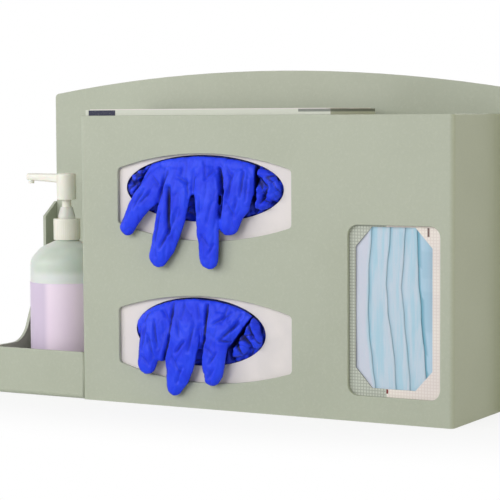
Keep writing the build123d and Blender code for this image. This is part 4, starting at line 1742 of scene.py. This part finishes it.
@dataclass
class Studio:
    """Floor, sky, lamps and camera."""

    aim: tuple[float, float, float] = (0.0, 0.0, 0.14)
    lens: float = 137.85
    yaw: float = 0.5093
    pitch: float = -0.0704
    roll: float = -0.0052
    stand: tuple[float, float, float] = (0.82382, -1.45988, 0.25192)
    sky: float = 0.27
    floor_half: float = 6.0
    floor_gap: float = 0.0004
    boxes: tuple[Softbox, ...] = (
        Softbox("key", -0.5, -2.9, 1.3, 1.9, 37.5, (1.0, 1.0, 0.99)),
        Softbox("side", -1.5, -1.3, 0.75, 0.9, 9.5),
        Softbox("fill", 2.9, -0.3, 0.45, 1.8, 19.2, (1.0, 0.94, 0.5)),
        Softbox("back", 0.4, 2.8, 1.5, 1.6, 26.0),
    )

    def camera(self) -> None:
        """Sets the camera up in front, to the right, a little above the middle."""
        ahead = Vector((
            -math.sin(self.yaw) * math.cos(self.pitch),
            math.cos(self.yaw) * math.cos(self.pitch),
            math.sin(self.pitch),
        ))
        right = ahead.cross(Vector((0.0, 0.0, 1.0))).normalized()
        up = right.cross(ahead)
        across = right * math.cos(self.roll) + up * math.sin(self.roll)
        over = up * math.cos(self.roll) - right * math.sin(self.roll)
        turn = Matrix((across, over, -ahead)).transposed().to_4x4()
        data = bpy.data.cameras.new("camera")
        data.lens, data.sensor_width = self.lens, 36.0
        data.clip_start, data.clip_end = 0.01, 50.0
        made = bpy.data.objects.new("camera", data)
        made.matrix_world = Matrix.Translation(self.stand) @ turn
        bpy.context.collection.objects.link(made)
        bpy.context.scene.camera = made

    def lamps(self) -> None:
        """Hangs the soft lamps, aimed at the middle of the piece."""
        for box in self.boxes:
            data = bpy.data.lights.new(box.name, "AREA")
            data.shape, data.size = "SQUARE", box.size
            data.energy, data.color = box.watts, box.tone
            made = bpy.data.objects.new(box.name, data)
            place = Vector((box.x, box.y, box.z))
            made.location = place
            made.rotation_mode = "QUATERNION"
            made.rotation_quaternion = (Vector(self.aim) - place).to_track_quat("-Z", "Y")
            bpy.context.collection.objects.link(made)

    def white(self, wires: Wiring) -> bpy.types.NodeSocket:
        """One where the camera, a mirror or glass looks, and nothing for other rays.

        Args:
            wires: The material's or the world's wiring.

        Returns:
            The mask's socket.
        """
        path = wires.node("LightPath").outputs
        seen = wires.math("MAXIMUM", path["Is Camera Ray"], path["Is Glossy Ray"])
        return wires.math("MAXIMUM", seen, path["Is Transmission Ray"])

    def world(self) -> None:
        """A white sky to look at, which lights the piece evenly and weakly."""
        made = bpy.data.worlds.new("studio")
        wires = Wiring.fresh(made)
        level = wires.math("MAXIMUM", self.white(wires), self.sky)
        light = wires.node("Background", {"Color": (1.0, 1.0, 1.0, 1.0), "Strength": level})
        wires.node("OutputWorld", {"Surface": light.outputs[0]})
        bpy.context.scene.world = made

    def floor(self) -> None:
        """A wide white floor that the piece stands on, with its shadow, white further off."""
        paper = bpy.data.materials.new("floor")
        wires = Wiring.fresh(paper)
        flat = wires.stretched(wires.place(), (0.8, 2.0, 1.0))
        far = wires.span(wires.vector("LENGTH", flat), 0.15, 0.5, 0.84, 1.0)
        matt = wires.node("BsdfDiffuse", {"Color": (0.9, 0.9, 0.9, 1.0)})
        glow = wires.node("Emission", {"Color": (1.0, 1.0, 1.0, 1.0), "Strength": 1.0})
        share = wires.product(self.white(wires), far)
        both = wires.node("MixShader", {0: share, 1: matt.outputs[0], 2: glow.outputs[0]})
        wires.node("OutputMaterial", {"Surface": both.outputs[0]})
        made = bmesh.new()
        where = Matrix.Translation((0.0, 0.0, -self.floor_gap))
        bmesh.ops.create_grid(made, x_segments=2, y_segments=2, size=self.floor_half, matrix=where)
        linked(made, "floor", paper)

    def build(self) -> None:
        """Sets the whole studio up."""
        self.camera()
        self.lamps()
        self.world()
        self.floor()
        bpy.context.scene.view_settings.view_transform = "Standard"


# ---------------------------------------------------------------- the dispenser
GLOVE_CARTONS = Carton(
    nodes=("glove_carton_lower", "glove_carton_upper"),
    board=Board(name="glove_carton_board", prints=(
        Print(-8.0, 253.9, 123.0, 3.0, screen(214, 217, 205)),
        Print(-111.6, 254.2, 14.0, 2.4, screen(6, 12, 52)),
        Print(98.6, 255.7, 15.4, 1.2, screen(130, 134, 127)),
    )),
)
MASK_CARTON = Carton(
    nodes=("mask_carton",),
    board=Board(
        name="mask_carton_board", face=screen(249, 240, 233), tint=screen(242, 232, 228), prints=(
            Print(142.0, 100.0, 22.0, 99.0, screen(202, 207, 196)),
            Print(142.0, 100.0, 21.0, 98.0, screen(140, 145, 132), 0.6, 2.6),
            Print(192.0, 100.0, 27.0, 98.0, screen(214, 196, 190), 0.35, 2.6),
            Print(164.5, 26.0, 0.9, 1.8, screen(120, 30, 34)),
            Print(201.0, 157.0, 0.9, 3.6, screen(112, 88, 84)),
        ),
    ),
)


def main() -> None:
    """Builds the studio and then the dispenser, from its shell to its pump."""
    Studio().build()
    Shell().build()
    GLOVE_CARTONS.build()
    MASK_CARTON.build()
    rubber = Nitrile().build()
    UPPER_GLOVES.build(rubber)
    LOWER_GLOVES.build(rubber)
    fabric = MaskFabric().build()
    FoldedMask().build(fabric)
    dress(fabric, "mask_stack")
    PumpBottle().build()


if __name__ == "__main__":
    main()
